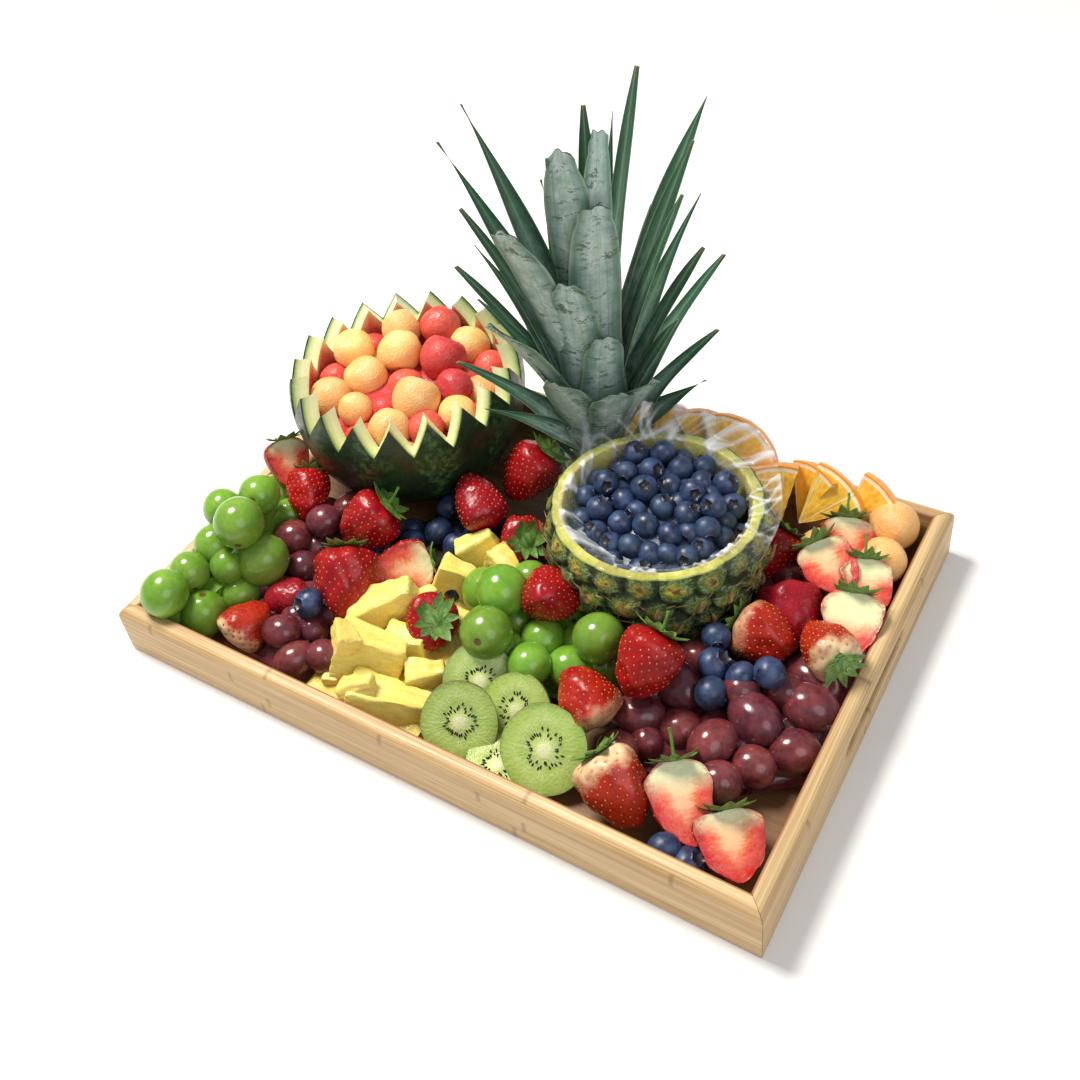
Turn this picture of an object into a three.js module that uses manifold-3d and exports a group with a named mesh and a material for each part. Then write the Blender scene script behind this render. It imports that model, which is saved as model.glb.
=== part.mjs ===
// A bamboo serving tray heaped with cut fruit: a zigzag-cut watermelon bowl of melon balls, a
// pineapple bowl of blueberries with its crown standing behind it, and grapes, strawberries,
// kiwi, pineapple, orange and cantaloupe around them.
// Units are millimetres, +Z is up, and the origin is the middle of the tray's underside.
// +X runs along the long front side to the right, and -Y faces whoever is served.
import * as THREE from 'three';
import { ConvexGeometry } from 'three/addons/geometries/ConvexGeometry.js';
import * as BufferGeometryUtils from 'three/addons/utils/BufferGeometryUtils.js';
import Module from 'manifold-3d';

const wasm = await Module();
wasm.setup();

// ---------------------------------------------------------------- driving dimensions
const GAP = 0.35; // air between pieces that rest on each other
const TRAY = { length: 400, width: 276, height: 34, wall: 10, floor: 5, outerRound: 6, innerRound: 2 };
const SLOT = { length: 86, height: 14, middleY: 9, middleZ: 20 }; // hand hole in each end wall
const MELON = { x: -123, y: 66, z: 74, radius: 74, rind: 11, valleyZ: 78, tipZ: 100, teeth: 19 };
const MELON_FIRST_TIP = -175; // degrees round the bowl
const PINE = { x: 63, y: 40, rimZ: 72, rimRadius: 60, belly: 63, foot: 44, wall: 8, hollowZ: 22 };
const CROWN = { x: -8, y: 104, stubRadius: 23, stubZ: 44, leafBaseZ: 36 };
const FLOOR_TOP = TRAY.floor + GAP; // what the fruit rests on
const SERVED_SIDE = [0.5, -0.6, 0.6]; // the way most cut faces look
const FACETED = 1.02; // a ball of few flat faces is drawn this much larger, nearer its true size

// ---------------------------------------------------------------- colours
const COLOURS = {
  bamboo: 0xc9a671,
  melonRind: 0x1f3a22,
  melonBall: 0xe08a5a,
  pineSkin: 0x8a7a2c,
  blueberry: 0x2b3554,
  film: 0xdfe6e8,
  crownLeaf: 0x54705f,
  strawberry: 0xc22a26,
  greenGrape: 0x7ba12a,
  redGrape: 0x6b2a36,
  pineFlesh: 0xe6d46a,
  kiwi: 0xa9c456,
  orange: 0xf0a53a,
  cantaloupe: 0xf0b565,
};

// ---------------------------------------------------------------- solids
function vec(list) {
  return new THREE.Vector3(...list);
}

// A closed geometry, placed by a matrix, as a solid that can be joined and cut.
function solid(geometry, matrix = new THREE.Matrix4()) {
  const bare = geometry.clone();
  bare.deleteAttribute('normal');
  bare.deleteAttribute('uv');
  bare.applyMatrix4(matrix);
  const merged = BufferGeometryUtils.mergeVertices(bare, 1e-3);
  const mesh = new wasm.Mesh({
    numProp: 3,
    vertProperties: new Float32Array(merged.attributes.position.array),
    triVerts: new Uint32Array(merged.index.array),
  });
  return new wasm.Manifold(mesh);
}

function geometryOf(body) {
  const mesh = body.getMesh();
  const geometry = new THREE.BufferGeometry();
  geometry.setAttribute('position', new THREE.BufferAttribute(new Float32Array(mesh.vertProperties), 3));
  geometry.setIndex(new THREE.BufferAttribute(new Uint32Array(mesh.triVerts), 1));
  geometry.computeVertexNormals();
  return geometry;
}

// Cutting can leave crumbs beside a piece: only its largest part is kept.
function largest(body) {
  const parts = body.decompose();
  return parts.reduce((best, part) => (part.volume() > best.volume() ? part : best));
}

function join(bodies) {
  return bodies.reduce((sum, body) => sum.add(body));
}

// A rotation whose local Z looks along `axis` and whose local X leans towards `side`.
function frame(origin, axis, side) {
  const z = vec(axis).normalize();
  const x = vec(side);
  x.addScaledVector(z, -x.dot(z)).normalize();
  const y = new THREE.Vector3().crossVectors(z, x);
  return new THREE.Matrix4().makeBasis(x, y, z).setPosition(...origin);
}

function moveVertices(geometry, change) {
  const position = geometry.attributes.position;
  const point = new THREE.Vector3();
  for (let i = 0; i < position.count; i += 1) {
    point.fromBufferAttribute(position, i);
    change(point);
    position.setXYZ(i, point.x, point.y, point.z);
  }
  return geometry;
}

// A lathe turns round +Y: this stands its profile of [radius, z] points up along +Z.
function lathe(profile, segments) {
  const points = profile.map(([r, z]) => new THREE.Vector2(r, z));
  return new THREE.LatheGeometry(points, segments).rotateX(Math.PI / 2);
}

// ---------------------------------------------------------------- tray
// One wall: its rounded section extruded along +X, outer face at y = 0, with mitred ends.
function wallGeometry(length) {
  const { wall, height, outerRound, innerRound } = TRAY;
  const section = new THREE.Shape();
  section.moveTo(0, 0);
  section.lineTo(wall, 0);
  section.lineTo(wall, height - innerRound);
  section.absarc(wall - innerRound, height - innerRound, innerRound, 0, Math.PI / 2, false);
  section.absarc(outerRound, height - outerRound, outerRound, Math.PI / 2, Math.PI, false);
  const geometry = new THREE.ExtrudeGeometry(section, { depth: 1, bevelEnabled: false, curveSegments: 4 });
  return moveVertices(geometry, (p) => {
    const inset = p.x;
    const end = length / 2 - inset - GAP / 2;
    const along = p.z > 0.5 ? end : -end;
    p.set(along, inset, p.y);
  });
}

// The hand hole: a round-ended slot right through an end wall, along +Y of that wall.
function slotCutter(middle) {
  const half = SLOT.length / 2 - SLOT.height / 2;
  const outline = new THREE.Shape();
  outline.absarc(half, 0, SLOT.height / 2, -Math.PI / 2, Math.PI / 2, false);
  outline.absarc(-half, 0, SLOT.height / 2, Math.PI / 2, Math.PI * 1.5, false);
  const depth = TRAY.wall * 3;
  const geometry = new THREE.ExtrudeGeometry(outline, { depth, bevelEnabled: false, curveSegments: 5 });
  geometry.rotateX(Math.PI / 2).translate(middle, TRAY.wall * 2, SLOT.middleZ);
  return solid(geometry);
}

function trayPieces() {
  const long = wallGeometry(TRAY.length);
  const short = wallGeometry(TRAY.width);
  const room = GAP + TRAY.wall;
  const floor = new THREE.BoxGeometry(TRAY.length - 2 * room, TRAY.width - 2 * room, TRAY.floor);
  floor.translate(0, 0, TRAY.floor / 2);
  // the end walls' own +X runs along the tray's Y, so the hole's offset changes sign on the left
  const endWall = (sign) => geometryOf(solid(short).subtract(slotCutter(SLOT.middleY * sign)));
  return [
    { name: 'tray_floor', geometry: floor, at: [0, 0, 0], turn: 0 },
    { name: 'tray_front', geometry: long, at: [0, -TRAY.width / 2, 0], turn: 0 },
    { name: 'tray_back', geometry: long, at: [0, TRAY.width / 2, 0], turn: 180 },
    { name: 'tray_right', geometry: endWall(1), at: [TRAY.length / 2, 0, 0], turn: 90 },
    { name: 'tray_left', geometry: endWall(-1), at: [-TRAY.length / 2, 0, 0], turn: -90 },
  ];
}

// ---------------------------------------------------------------- watermelon bowl
function melonRadius(z, shrink = 0) {
  return Math.sqrt(Math.max((MELON.radius - shrink) ** 2 - (z - MELON.z) ** 2, 0));
}

// Swelling a profile moves its first row down and its last row up.
function endShift(row, lastRow, grow) {
  if (row === 0) return -grow;
  return row === lastRow ? grow : 0;
}

// The rind shell, hollowed to its pink flesh and open at the top; `grow` swells it on all sides.
function melonBowl(grow) {
  const outer = [];
  const inner = [];
  const rows = 5;
  for (let i = 0; i <= rows; i += 1) {
    const z = FLOOR_TOP + ((MELON.tipZ - FLOOR_TOP) * i) / rows;
    outer.push([melonRadius(z) + grow, z + endShift(i, rows, grow)]);
  }
  const hollow = MELON.rind + 2 * grow;
  const deep = MELON.z - MELON.radius + hollow + 22;
  for (let i = 0; i <= 3; i += 1) {
    const z = MELON.tipZ + grow - ((MELON.tipZ + grow - deep) * i) / 3;
    inner.push([melonRadius(z, hollow - grow), z]);
  }
  const shell = solid(lathe([[0, FLOOR_TOP - grow], ...outer, ...inner, [0, deep]], MELON.teeth));
  if (grow > 0) return shell;
  return largest(shell.subtract(join(toothGaps())));
}

// One V cut through the rim between every two teeth.
function toothGaps() {
  const pitch = (2 * Math.PI) / MELON.teeth;
  const top = MELON.tipZ + 1;
  const half = Math.tan(pitch / 2) * melonRadius(MELON.tipZ) - 0.4;
  const cut = new THREE.Shape();
  cut.moveTo(0, MELON.valleyZ);
  cut.lineTo(half, top);
  cut.lineTo(-half, top);
  const geometry = new THREE.ExtrudeGeometry(cut, { depth: MELON.radius + 10, bevelEnabled: false });
  // the cut widens outwards like a slice of the circle
  moveVertices(geometry, (p) => {
    p.x *= 0.45 + (0.62 * p.z) / MELON.radius;
  });
  geometry.rotateX(Math.PI / 2).rotateZ(Math.PI / 2);
  // now the cut runs outwards along +X from the middle
  const cuts = [];
  for (let i = 0; i < MELON.teeth; i += 1) {
    const angle = THREE.MathUtils.degToRad(MELON_FIRST_TIP) + pitch * (i + 0.5);
    cuts.push(solid(geometry, new THREE.Matrix4().makeRotationZ(angle)));
  }
  return cuts;
}

// The balls that show, from the middle of the bowl: [x, y, z, radius].
const MELON_BALLS = [
  [-44, 5, 86.5, 13.5], [-25.7, 33.9, 88.4, 13], [-12.3, 13, 88.4, 14.2], [-29.3, 11.2, 71.4, 12],
  [-24, -10.3, 80.5, 14.2], [-34.3, -34.2, 79, 13.6], [18.3, 45, 78.6, 13.6], [47.1, 14.6, 71.4, 13],
  [48, -14.7, 78.8, 12], [19, -44.9, 80.4, 13.2], [-4, 46.7, 87.4, 13.4], [17, 19.1, 88.4, 14.8],
  [22, -19.5, 85.4, 15.2], [-48.5, -11.5, 71.2, 12], [1.1, -3.1, 75.2, 12.5], [0.5, -26.2, 71.9, 12.5],
  [0.4, -50.6, 70.2, 11.5], [38.9, -34.3, 79.4, 11.5], [34.4, 2.8, 82.4, 12], [-12.1, -37.8, 80.4, 11],
  [-0.3, 27.2, 72.8, 12], [40, 36, 74, 12],
];

function melonHeap(grow) {
  const reach = (z) => melonRadius(z, MELON.rind + 1.2 - grow);
  const bottom = MELON.z - MELON.radius + MELON.rind + 23;
  const profile = [[0, bottom - grow]];
  for (let i = 0; i <= 3; i += 1) {
    const z = bottom + ((72 - bottom) * i) / 3;
    profile.push([reach(z) - 0.6, z]);
  }
  const core = solid(lathe([...profile, [34, 81 + grow], [0, 82 + grow]], 13));
  const balls = MELON_BALLS.map(([x, y, z, r], i) => {
    const ball = new THREE.IcosahedronGeometry(r * FACETED + grow, 0);
    return solid(ball, new THREE.Matrix4().makeRotationX(i).setPosition(x, y, z));
  });
  return join([core, ...balls]);
}

// ---------------------------------------------------------------- pineapple bowl
function pineRadius(z) {
  const t = (z - FLOOR_TOP) / (PINE.rimZ - FLOOR_TOP);
  const bulge = Math.sin(Math.PI * Math.min(t * 0.62 + 0.02, 1));
  return PINE.foot + (PINE.belly - PINE.foot) * bulge ** 0.8 - 2.5 * t ** 4;
}

function pineBowl(grow) {
  const top = PINE.rimZ + grow;
  const profile = [[0, FLOOR_TOP - grow]];
  const rows = 6;
  for (let i = 0; i <= rows; i += 1) {
    const z = FLOOR_TOP + ((PINE.rimZ - FLOOR_TOP) * i) / rows;
    profile.push([pineRadius(z) + grow, z + endShift(i, rows, grow)]);
  }
  const inside = PINE.rimRadius - PINE.wall - grow;
  const hollow = [[inside, top], [inside - 1, 56], [inside - 7, 38], [inside - 22, PINE.hollowZ + 3]];
  profile.push(...hollow, [0, PINE.hollowZ - grow]);
  const geometry = lathe(profile, 24);
  const eyes = 8; // knobbly eyes wind round the skin in two sets of spirals
  moveVertices(geometry, (p) => {
    const radius = Math.hypot(p.x, p.y);
    if (radius < inside + 1.5) return;
    const around = Math.atan2(p.y, p.x) * eyes;
    const knob = Math.cos(around) * Math.cos((p.z / 23) * Math.PI) * 1.3;
    const scale = (radius + knob + grow * 0.5) / radius;
    p.x *= scale;
    p.y *= scale;
  });
  return solid(geometry);
}

// Berries on top of the bowl's fill, from its middle: [x, y, z].
const BOWL_BERRIES = [
  [-20.4, 37, 63], [-34.4, 24.2, 61.6], [-27.3, 29.6, 73.1], [-12.9, 34.7, 74.8], [-4.5, 41.6, 65.1],
  [9.5, 40.9, 66.5], [27.6, 30.5, 70.4], [-26.2, 15.6, 69.4], [-12.8, 20.1, 73.3], [0.4, 29.7, 71.3],
  [-40.4, 10.9, 62.2], [-32.8, 2.6, 71.2], [-41.6, -3.7, 61.4], [-19.9, -1.7, 66.2], [-9.7, 5.5, 73.8],
  [0.7, 15.2, 70.4], [15, 14.9, 72.6], [14.7, 27.9, 67.5], [35.7, 21.7, 63.8], [-38.1, -17.2, 57.3],
  [-28.4, -13.6, 67.3], [3.2, 1, 68.6], [28.9, 10.9, 70.7], [-24.7, -26.6, 61.3], [-14.5, -15.2, 63],
  [-0.3, -13, 65.2], [17.8, 1.4, 68.4], [31.7, -3.1, 67], [14.3, -13.3, 64.4], [-2.7, -26.7, 60.4],
];
const BOWL_BERRY_RADIUS = 7.6;

function bowlBerries(grow) {
  const inside = PINE.rimRadius - PINE.wall - 1 + grow;
  const base = PINE.hollowZ + 4 - grow;
  const profile = [[0, base], [inside - 24, base + 1], [inside - 10, 40], [inside - 4, 55]];
  const fill = lathe([...profile, [36, 65 + grow], [0, 69 + grow]], 11);
  moveVertices(fill, (p) => {
    p.z += p.z > 60 ? p.y * 0.14 : 0; // heaped up towards the back
  });
  const berry = new THREE.IcosahedronGeometry(BOWL_BERRY_RADIUS * FACETED + grow, 0);
  const berries = BOWL_BERRIES.map(([x, y, z]) => {
    return solid(berry, new THREE.Matrix4().makeRotationX(x).setPosition(x, y, z));
  });
  return join([solid(fill), ...berries]);
}

// The crumpled film that lines the bowl: out of the fill, up the wall and over the rim.
function filmLiner(grow) {
  const t = 0.8 + 2 * grow;
  const inside = PINE.rimRadius - PINE.wall - GAP;
  const rim = PINE.rimZ + GAP;
  const outer = [[inside - 1.2, 57], [inside, rim + 1], [PINE.belly - 3, rim + 2], [PINE.belly + 6, rim + 9]];
  const inner = outer.map(([r, z]) => [r - t, z + t]).reverse();
  const geometry = lathe([...outer, ...inner, outer[0]], 22);
  moveVertices(geometry, (p) => {
    const angle = Math.atan2(p.y, p.x);
    const free = Math.max(p.z - rim - 1, 0); // only the part above the rim crumples
    const crease = Math.sin(angle * 7 + 0.6) + 0.6 * Math.sin(angle * 11 + 2);
    const backLift = 1 + 0.7 * Math.cos(angle - 2.2);
    p.z += free * (0.18 * crease + 0.5 * (backLift - 1));
    const radius = Math.hypot(p.x, p.y);
    const scale = 1 + (free * 0.25 * Math.cos(angle * 5 + 1)) / radius;
    p.x *= scale;
    p.y *= scale;
  });
  return solid(geometry);
}

// ---------------------------------------------------------------- pineapple crown
// Leaves from the crown's axis: which way the tip lies (degrees, 0 = +X), how far out from the
// leaf's foot and how high it is, and the leaf's greatest width. The first ten are cut short.
const CUT_LEAVES = [
  [-76, 22, 258, 27], [-34, 24, 267, 21], [-45, 23, 226, 31], [-108, 46, 220, 29], [-77, 24, 182, 30],
  [-46, 20, 144, 28], [-124, 49, 155, 27], [-92, 32, 122, 27], [-44, 33, 115, 26], [-18, 34, 115, 25],
];
const LEAVES = [
  [-142, 51, 278, 25], [-155, 66, 251, 18], [-140, 56, 220, 22], [-135, 51, 200, 21], [-146, 61, 180, 19],
  [-128, 53, 170, 20], [-140, 65, 120, 20], [-122, 57, 100, 19],
  [100, 11, 259, 20], [60, 18, 256, 18], [30, 30, 285, 23], [32, 63, 264, 21], [25, 54, 244, 20],
  [35, 56, 206, 20], [12, 48, 220, 20], [36, 66, 164, 21], [18, 55, 184, 20], [0, 43, 148, 20],
  [30, 58, 118, 20], [15, 50, 95, 20], [110, 40, 230, 20], [140, 58, 190, 21], [80, 52, 176, 21],
  [165, 62, 140, 19], [115, 60, 120, 20],
];
const LOWEST_TIP = 95;
const HIGHEST_TIP = 285;
const FACES_WAY = -58; // the leaves twist their faces towards this direction, degrees
const LEAF_TWIST = 52; // how far a whole side leaf twists by the tip, its upper face leading
const CUT_TWIST = -30; // a cut leaf in front twists the other way, its underside leading

// A leaf is a thin channel that leaves the axis steeply, then arches out and twists to its tip.
function crownLeaf([turn, out, tipZ, width], cutShort, grow) {
  const height = tipZ - CROWN.leafBaseZ;
  const foot = 4 + (12 * (HIGHEST_TIP - tipZ)) / (HIGHEST_TIP - LOWEST_TIP); // low leaves sit outside
  const aside = Math.sin(THREE.MathUtils.degToRad(turn - FACES_WAY));
  const twistAtTip = THREE.MathUtils.degToRad(cutShort ? CUT_TWIST : LEAF_TWIST) * aside;
  const geometry = new THREE.BoxGeometry(1, 1, 1, 1, 3, 1);
  moveVertices(geometry, (p) => {
    const t = p.y + 0.5;
    const across = p.x * 2;
    const tapered = (0.8 + 1.6 * t) * (1 - t) ** 0.9;
    const blunt = Math.max((0.75 + 1.1 * t) * (1 - t) ** 0.35, 0.5);
    const half = (width / 2) * (cutShort ? blunt : Math.max(tapered, 0.04)) + grow;
    const thick = (2.6 * (1 - 0.55 * t) + 2 * grow) * p.z;
    const arch = out * (0.2 * t + 0.8 * t ** 2.1);
    const channel = 0.3 * half * across ** 2 * (1 - 0.4 * t);
    const wave = 1.2 * Math.sin(t * 9 + turn) * across;
    const rise = CROWN.leafBaseZ + height * (t - 0.06 * Math.sin(Math.PI * t));
    const twist = twistAtTip * (0.4 + 0.6 * t);
    const outward = thick - channel;
    const sideways = across * half + wave;
    p.set(
      foot + arch + outward * Math.cos(twist) - sideways * Math.sin(twist),
      outward * Math.sin(twist) + sideways * Math.cos(twist),
      rise,
    );
  });
  return solid(geometry, new THREE.Matrix4().makeRotationZ(THREE.MathUtils.degToRad(turn)));
}

function crown(grow) {
  const { stubRadius, stubZ } = CROWN;
  const low = FLOOR_TOP - grow;
  const r = stubRadius + grow;
  // above the stub the leaf bases wrap into one tight bud
  const bud = [[r - 3, stubZ + 2], [19 + grow, stubZ + 26], [15 + grow, stubZ + 56], [8 + grow, stubZ + 88]];
  const stub = solid(lathe([[0, low], [r, low], [r, stubZ - 8], ...bud, [0, stubZ + 104]], 9));
  const cut = CUT_LEAVES.map((leaf) => crownLeaf(leaf, true, grow));
  const whole = LEAVES.map((leaf) => crownLeaf(leaf, false, grow));
  return largest(join([stub, ...cut, ...whole]));
}

// ---------------------------------------------------------------- strawberries
// Each runs from its green cap to its tip. `face` is the way a half's cut side looks, `stem`
// is the length of stalk left on, and `cap` is 0 where the cap is hidden or pulled off.
const STRAWBERRIES = [
  { name: 'back_left_half', cap: [-177, 2, 62], tip: [-162, -14, 38], width: 29, face: [0.9, -0.2, 0.6] },
  { name: 'left_small', cap: [-160, 0, 41], tip: [-146, -27, 30], width: 29 },
  { name: 'left_big', cap: [-96, -46, 47], tip: [-77, -76, 22], width: 36 },
  { name: 'left_middle', cap: [-91, -8, 49], tip: [-112, -31, 28], width: 34, stem: 14 },
  { name: 'middle_half', cap: [-55, -20, 28], tip: [-84, -47, 26], width: 30, face: SERVED_SIDE },
  { name: 'front_left_pale', cap: [-133, -117, 17], tip: [-127, -90, 27], width: 29, capless: true },
  { name: 'left_dark', cap: [-133, -78, 16], tip: [-107, -74, 28], width: 25, capless: true },
  { name: 'middle_dark_back', cap: [-35, 14, 33], tip: [-62, 31, 52], width: 30, capless: true },
  { name: 'behind_middle', cap: [-22, 66, 56], tip: [-41, 44, 30], width: 33, stem: 9 },
  { name: 'beside_bowl', cap: [-10, 15, 32], tip: [-28, 28, 13], width: 30 },
  { name: 'middle_capped', cap: [-25, -60, 34], tip: [-42, -53, 12], width: 31 },
  { name: 'by_bowl_round', cap: [26, -15, 34], tip: [32, -38, 58], width: 32, capless: true },
  { name: 'front_of_bowl', cap: [100, -31, 58], tip: [95, -60, 36], width: 34, stem: 12 },
  { name: 'on_kiwi', cap: [88, -76, 27], tip: [62, -63, 45], width: 33, capless: true },
  { name: 'front_whole', cap: [97, -97, 38], tip: [127, -113, 15], width: 34 },
  { name: 'front_half', cap: [132, -84, 37], tip: [154, -111, 16], width: 33, face: SERVED_SIDE, stem: 16 },
  { name: 'corner_half', cap: [162, -92, 28], tip: [180, -116, 13], width: 33, face: SERVED_SIDE },
  { name: 'right_pale', cap: [124, 9, 36], tip: [158, 7, 32], width: 33 },
  { name: 'right_dark', cap: [137, 46, 33], tip: [154, 16, 23], width: 33, capless: true },
  { name: 'right_half', cap: [143, 70, 47], tip: [169, 51, 36], width: 32, face: [0.35, -0.5, 0.8] },
  { name: 'back_half', cap: [150, 101, 41], tip: [161, 76, 26], width: 30, face: SERVED_SIDE, stem: 14 },
  { name: 'edge_half', cap: [170, 74, 42], tip: [184, 47, 30], width: 28, face: [0.4, -0.3, 0.9], stem: 14 },
  { name: 'pale_half', cap: [173, 47, 44], tip: [182, 16, 30], width: 32, face: [0.2, -0.5, 0.85] },
  { name: 'edge_pale', cap: [184, -2, 45], tip: [160, 20, 40], width: 28 },
  { name: 'behind_right', cap: [122, 84, 34], tip: [113, 58, 14], width: 28 },
];

const HALF_AT = 2; // from a half's axis to its cut face

// The body: shoulders under the cap, then a taper to a blunt tip, down local -Z.
function berryBody(width, length, grow) {
  const r = width / 2 + grow;
  const top = grow;
  const l = length + 2 * grow;
  const rings = [[0.62, 0.02], [1.02, 0.26], [0.86, 0.6], [0.42, 0.92]];
  const profile = rings.map(([a, t]) => [a * r, top - t * l]).reverse();
  return lathe([[0, top - l], ...profile, [0, top - 0.02 * l]], 8);
}

// The cap: five pointed leaflets in one thin star that lifts at the tips.
function berryCap(width, grow) {
  const leaflets = 5;
  const reach = width * 0.46 + grow;
  const star = new THREE.Shape();
  for (let i = 0; i < leaflets * 2; i += 1) {
    const angle = (i * Math.PI) / leaflets;
    const r = i % 2 === 0 ? reach : width * 0.17 + grow;
    const point = [Math.cos(angle) * r, Math.sin(angle) * r];
    if (i === 0) star.moveTo(...point);
    else star.lineTo(...point);
  }
  const depth = 1.4 + 2 * grow;
  const geometry = new THREE.ExtrudeGeometry(star, { depth, bevelEnabled: false });
  geometry.translate(0, 0, -0.7 - grow);
  return moveVertices(geometry, (p) => {
    const out = Math.hypot(p.x, p.y) / reach;
    p.z += out ** 2 * 2.6 - 0.5;
  });
}

function strawberry(spec, grow) {
  const length = vec(spec.cap).distanceTo(vec(spec.tip));
  let body = solid(berryBody(spec.width, length, grow));
  if (spec.face) {
    const reach = 200;
    const kept = new THREE.BoxGeometry(reach, reach, reach).translate(HALF_AT + grow - reach / 2, 0, 0);
    body = body.intersect(solid(kept));
  }
  if (!spec.capless) body = body.add(solid(berryCap(spec.width, grow)));
  if (spec.stem) {
    const stalk = new THREE.CylinderGeometry(1 + grow, 1 + grow, spec.stem, 5);
    const lean = new THREE.Matrix4().makeRotationY(0.35);
    stalk.rotateX(Math.PI / 2).translate(0, 0, spec.stem / 2 - 0.5);
    body = body.add(solid(stalk, lean));
  }
  return body;
}

function strawberryPlace(spec) {
  const axis = vec(spec.cap).sub(vec(spec.tip));
  return frame(spec.cap, axis.toArray(), spec.face ?? [0, 0, 1]);
}

// ---------------------------------------------------------------- cut fruit
// Kiwi slices: middle, radius, and the way the near face looks.
const KIWI = [
  { name: 'kiwi_left', at: [21, -108, 27], radius: 21.5, face: [0.48, -0.6, 0.64] },
  { name: 'kiwi_right', at: [69, -103, 28], radius: 23.5, face: [0.3, -0.6, 0.7] },
  { name: 'kiwi_behind', at: [15, -79, 24], radius: 21, face: [0.5, -0.4, 0.75] },
  { name: 'kiwi_between', at: [40, -84, 20], radius: 20, face: [0.2, -0.6, 0.75] },
  { name: 'kiwi_low', at: [46, -114, 14], radius: 18, face: [0.1, -0.15, 0.95] },
];
const KIWI_THICK = 9;

function kiwiSlice(spec, grow) {
  const r = spec.radius + grow;
  const slice = new THREE.CylinderGeometry(r, r * 0.94, KIWI_THICK + 2 * grow, 14);
  slice.rotateX(Math.PI / 2).scale(1, 0.95, 1).translate(0, 0, -KIWI_THICK / 2);
  return solid(slice);
}

// Orange wedges: the core end of the round-cut face, the middle of that face's peel edge, how
// wide the wedge opens in degrees, its depth, and the way the round-cut face looks.
const ORANGES = [
  { name: 'back_1', core: [34, 104, 44], rim: [36, 119, 71], open: 178, deep: 16, face: [0.3, -0.75, 0.45] },
  { name: 'back_2', core: [55, 110, 44], rim: [66, 124, 67], open: 120, deep: 15, face: [0.4, -0.7, 0.4] },
  { name: 'big', core: [72, 104, 44], rim: [97, 115, 65], open: 150, deep: 17, face: [0.3, -0.75, 0.6] },
  { name: 'fan_1', core: [115, 92, 30], rim: [104, 101, 62], open: 52, deep: 20, face: [0.25, -0.85, 0.3] },
  { name: 'fan_2', core: [122, 100, 26], rim: [125, 114, 59], open: 50, deep: 20, face: [-0.4, -0.85, 0.4] },
  { name: 'fan_3', core: [124, 95, 30], rim: [145, 112, 57], open: 56, deep: 20, face: [0.1, -0.8, 0.6] },
  { name: 'fan_4', core: [144, 106, 26], rim: [166, 118, 52], open: 50, deep: 16, face: [0.1, -0.8, 0.55] },
];

function orangeWedge(spec, grow) {
  const r = vec(spec.core).distanceTo(vec(spec.rim)) + grow;
  const half = THREE.MathUtils.degToRad(spec.open) / 2;
  const wide = new THREE.Shape();
  const reach = r * 1.3;
  const back = grow / Math.sin(Math.min(half, Math.PI / 2)); // keeps the same air along the flat sides
  wide.moveTo(-back, 0);
  wide.lineTo(Math.cos(half) * reach - back, -Math.sin(half) * reach);
  wide.absarc(-back, 0, reach, -half, half, false);
  const depth = spec.deep + 2 * grow;
  const sector = new THREE.ExtrudeGeometry(wide, { depth, bevelEnabled: false, curveSegments: 4 });
  sector.translate(0, 0, -spec.deep - grow);
  const ball = new THREE.SphereGeometry(r, 12, 7).rotateX(Math.PI / 2);
  return solid(sector).intersect(solid(ball));
}

function orangePlace(spec) {
  const out = vec(spec.rim).sub(vec(spec.core));
  const face = vec(spec.face);
  face.addScaledVector(out, -face.dot(out) / out.lengthSq());
  return frame(spec.core, face.toArray(), out.toArray());
}

// Loose cantaloupe balls beside the oranges: [x, y, z, radius].
const CANTALOUPE = [
  [173, 113, 33, 14.4], [176, 87, 31, 12.8], [140.9, 87.5, 21.5, 13.6],
];

function melonBall([, , , radius], grow) {
  return solid(new THREE.IcosahedronGeometry(radius + grow, 1));
}

// ---------------------------------------------------------------- heaps
// A heap is a low core with its fruit fused on. Grapes: [x, y, z, radius, stretch, turn], where
// the long side of a stretched grape points `turn` degrees round from +X.
const GREEN_LEFT = [
  [-168.2, -37.1, 51.4, 12.8], [-180.3, -56.9, 52.6, 12.2], [-154.9, -68.1, 61.7, 15],
  [-172.9, -76.3, 43.4, 12.4], [-174.5, -98.8, 40.3, 12.2], [-174, -119.8, 43, 14.2],
  [-160.2, -109.4, 21.7, 14], [-173.4, -79, 19.4, 14], [-142.5, -69.3, 36.5, 15.4],
  [-177.2, -15.8, 30.3, 12.4], [-176, -44, 27, 12.5], [-151, -87.2, 20.6, 12],
];
const GREEN_MIDDLE = [
  [-16, -23.7, 24.4, 14], [3.2, -32.5, 43.5, 14.6], [8.3, -58.4, 38.3, 14.6], [30.1, -37.3, 20.5, 13],
  [63.8, -33.8, 36.5, 13.8], [2, -4, 22, 12], [34.5, -59.1, 26.7, 12], [7.2, -30.3, 18.4, 13],
  [52.2, -46.2, 18.4, 13],
];
const RED_LEFT = [
  [-146, -40, 27, 11, 1.1, 0], [-131.6, -24.8, 32.6, 10.4, 1.1, 20], [-127.5, -4.8, 27.2, 10.5, 1.2, 80],
  [-108.7, -99.6, 21.2, 10, 1.2, 10], [-91, -110.3, 17.9, 10, 1.3, 60], [-76, -101.5, 19, 10, 1.1, 0],
  [-129, -53, 20, 10.4, 1.1, 0], [-146.3, -7.5, 17, 11, 1.1, 0], [-108, -52, 18, 11, 1.1, 40],
  [-96.5, -86.2, 14.9, 9.5, 1, 0],
];
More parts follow.
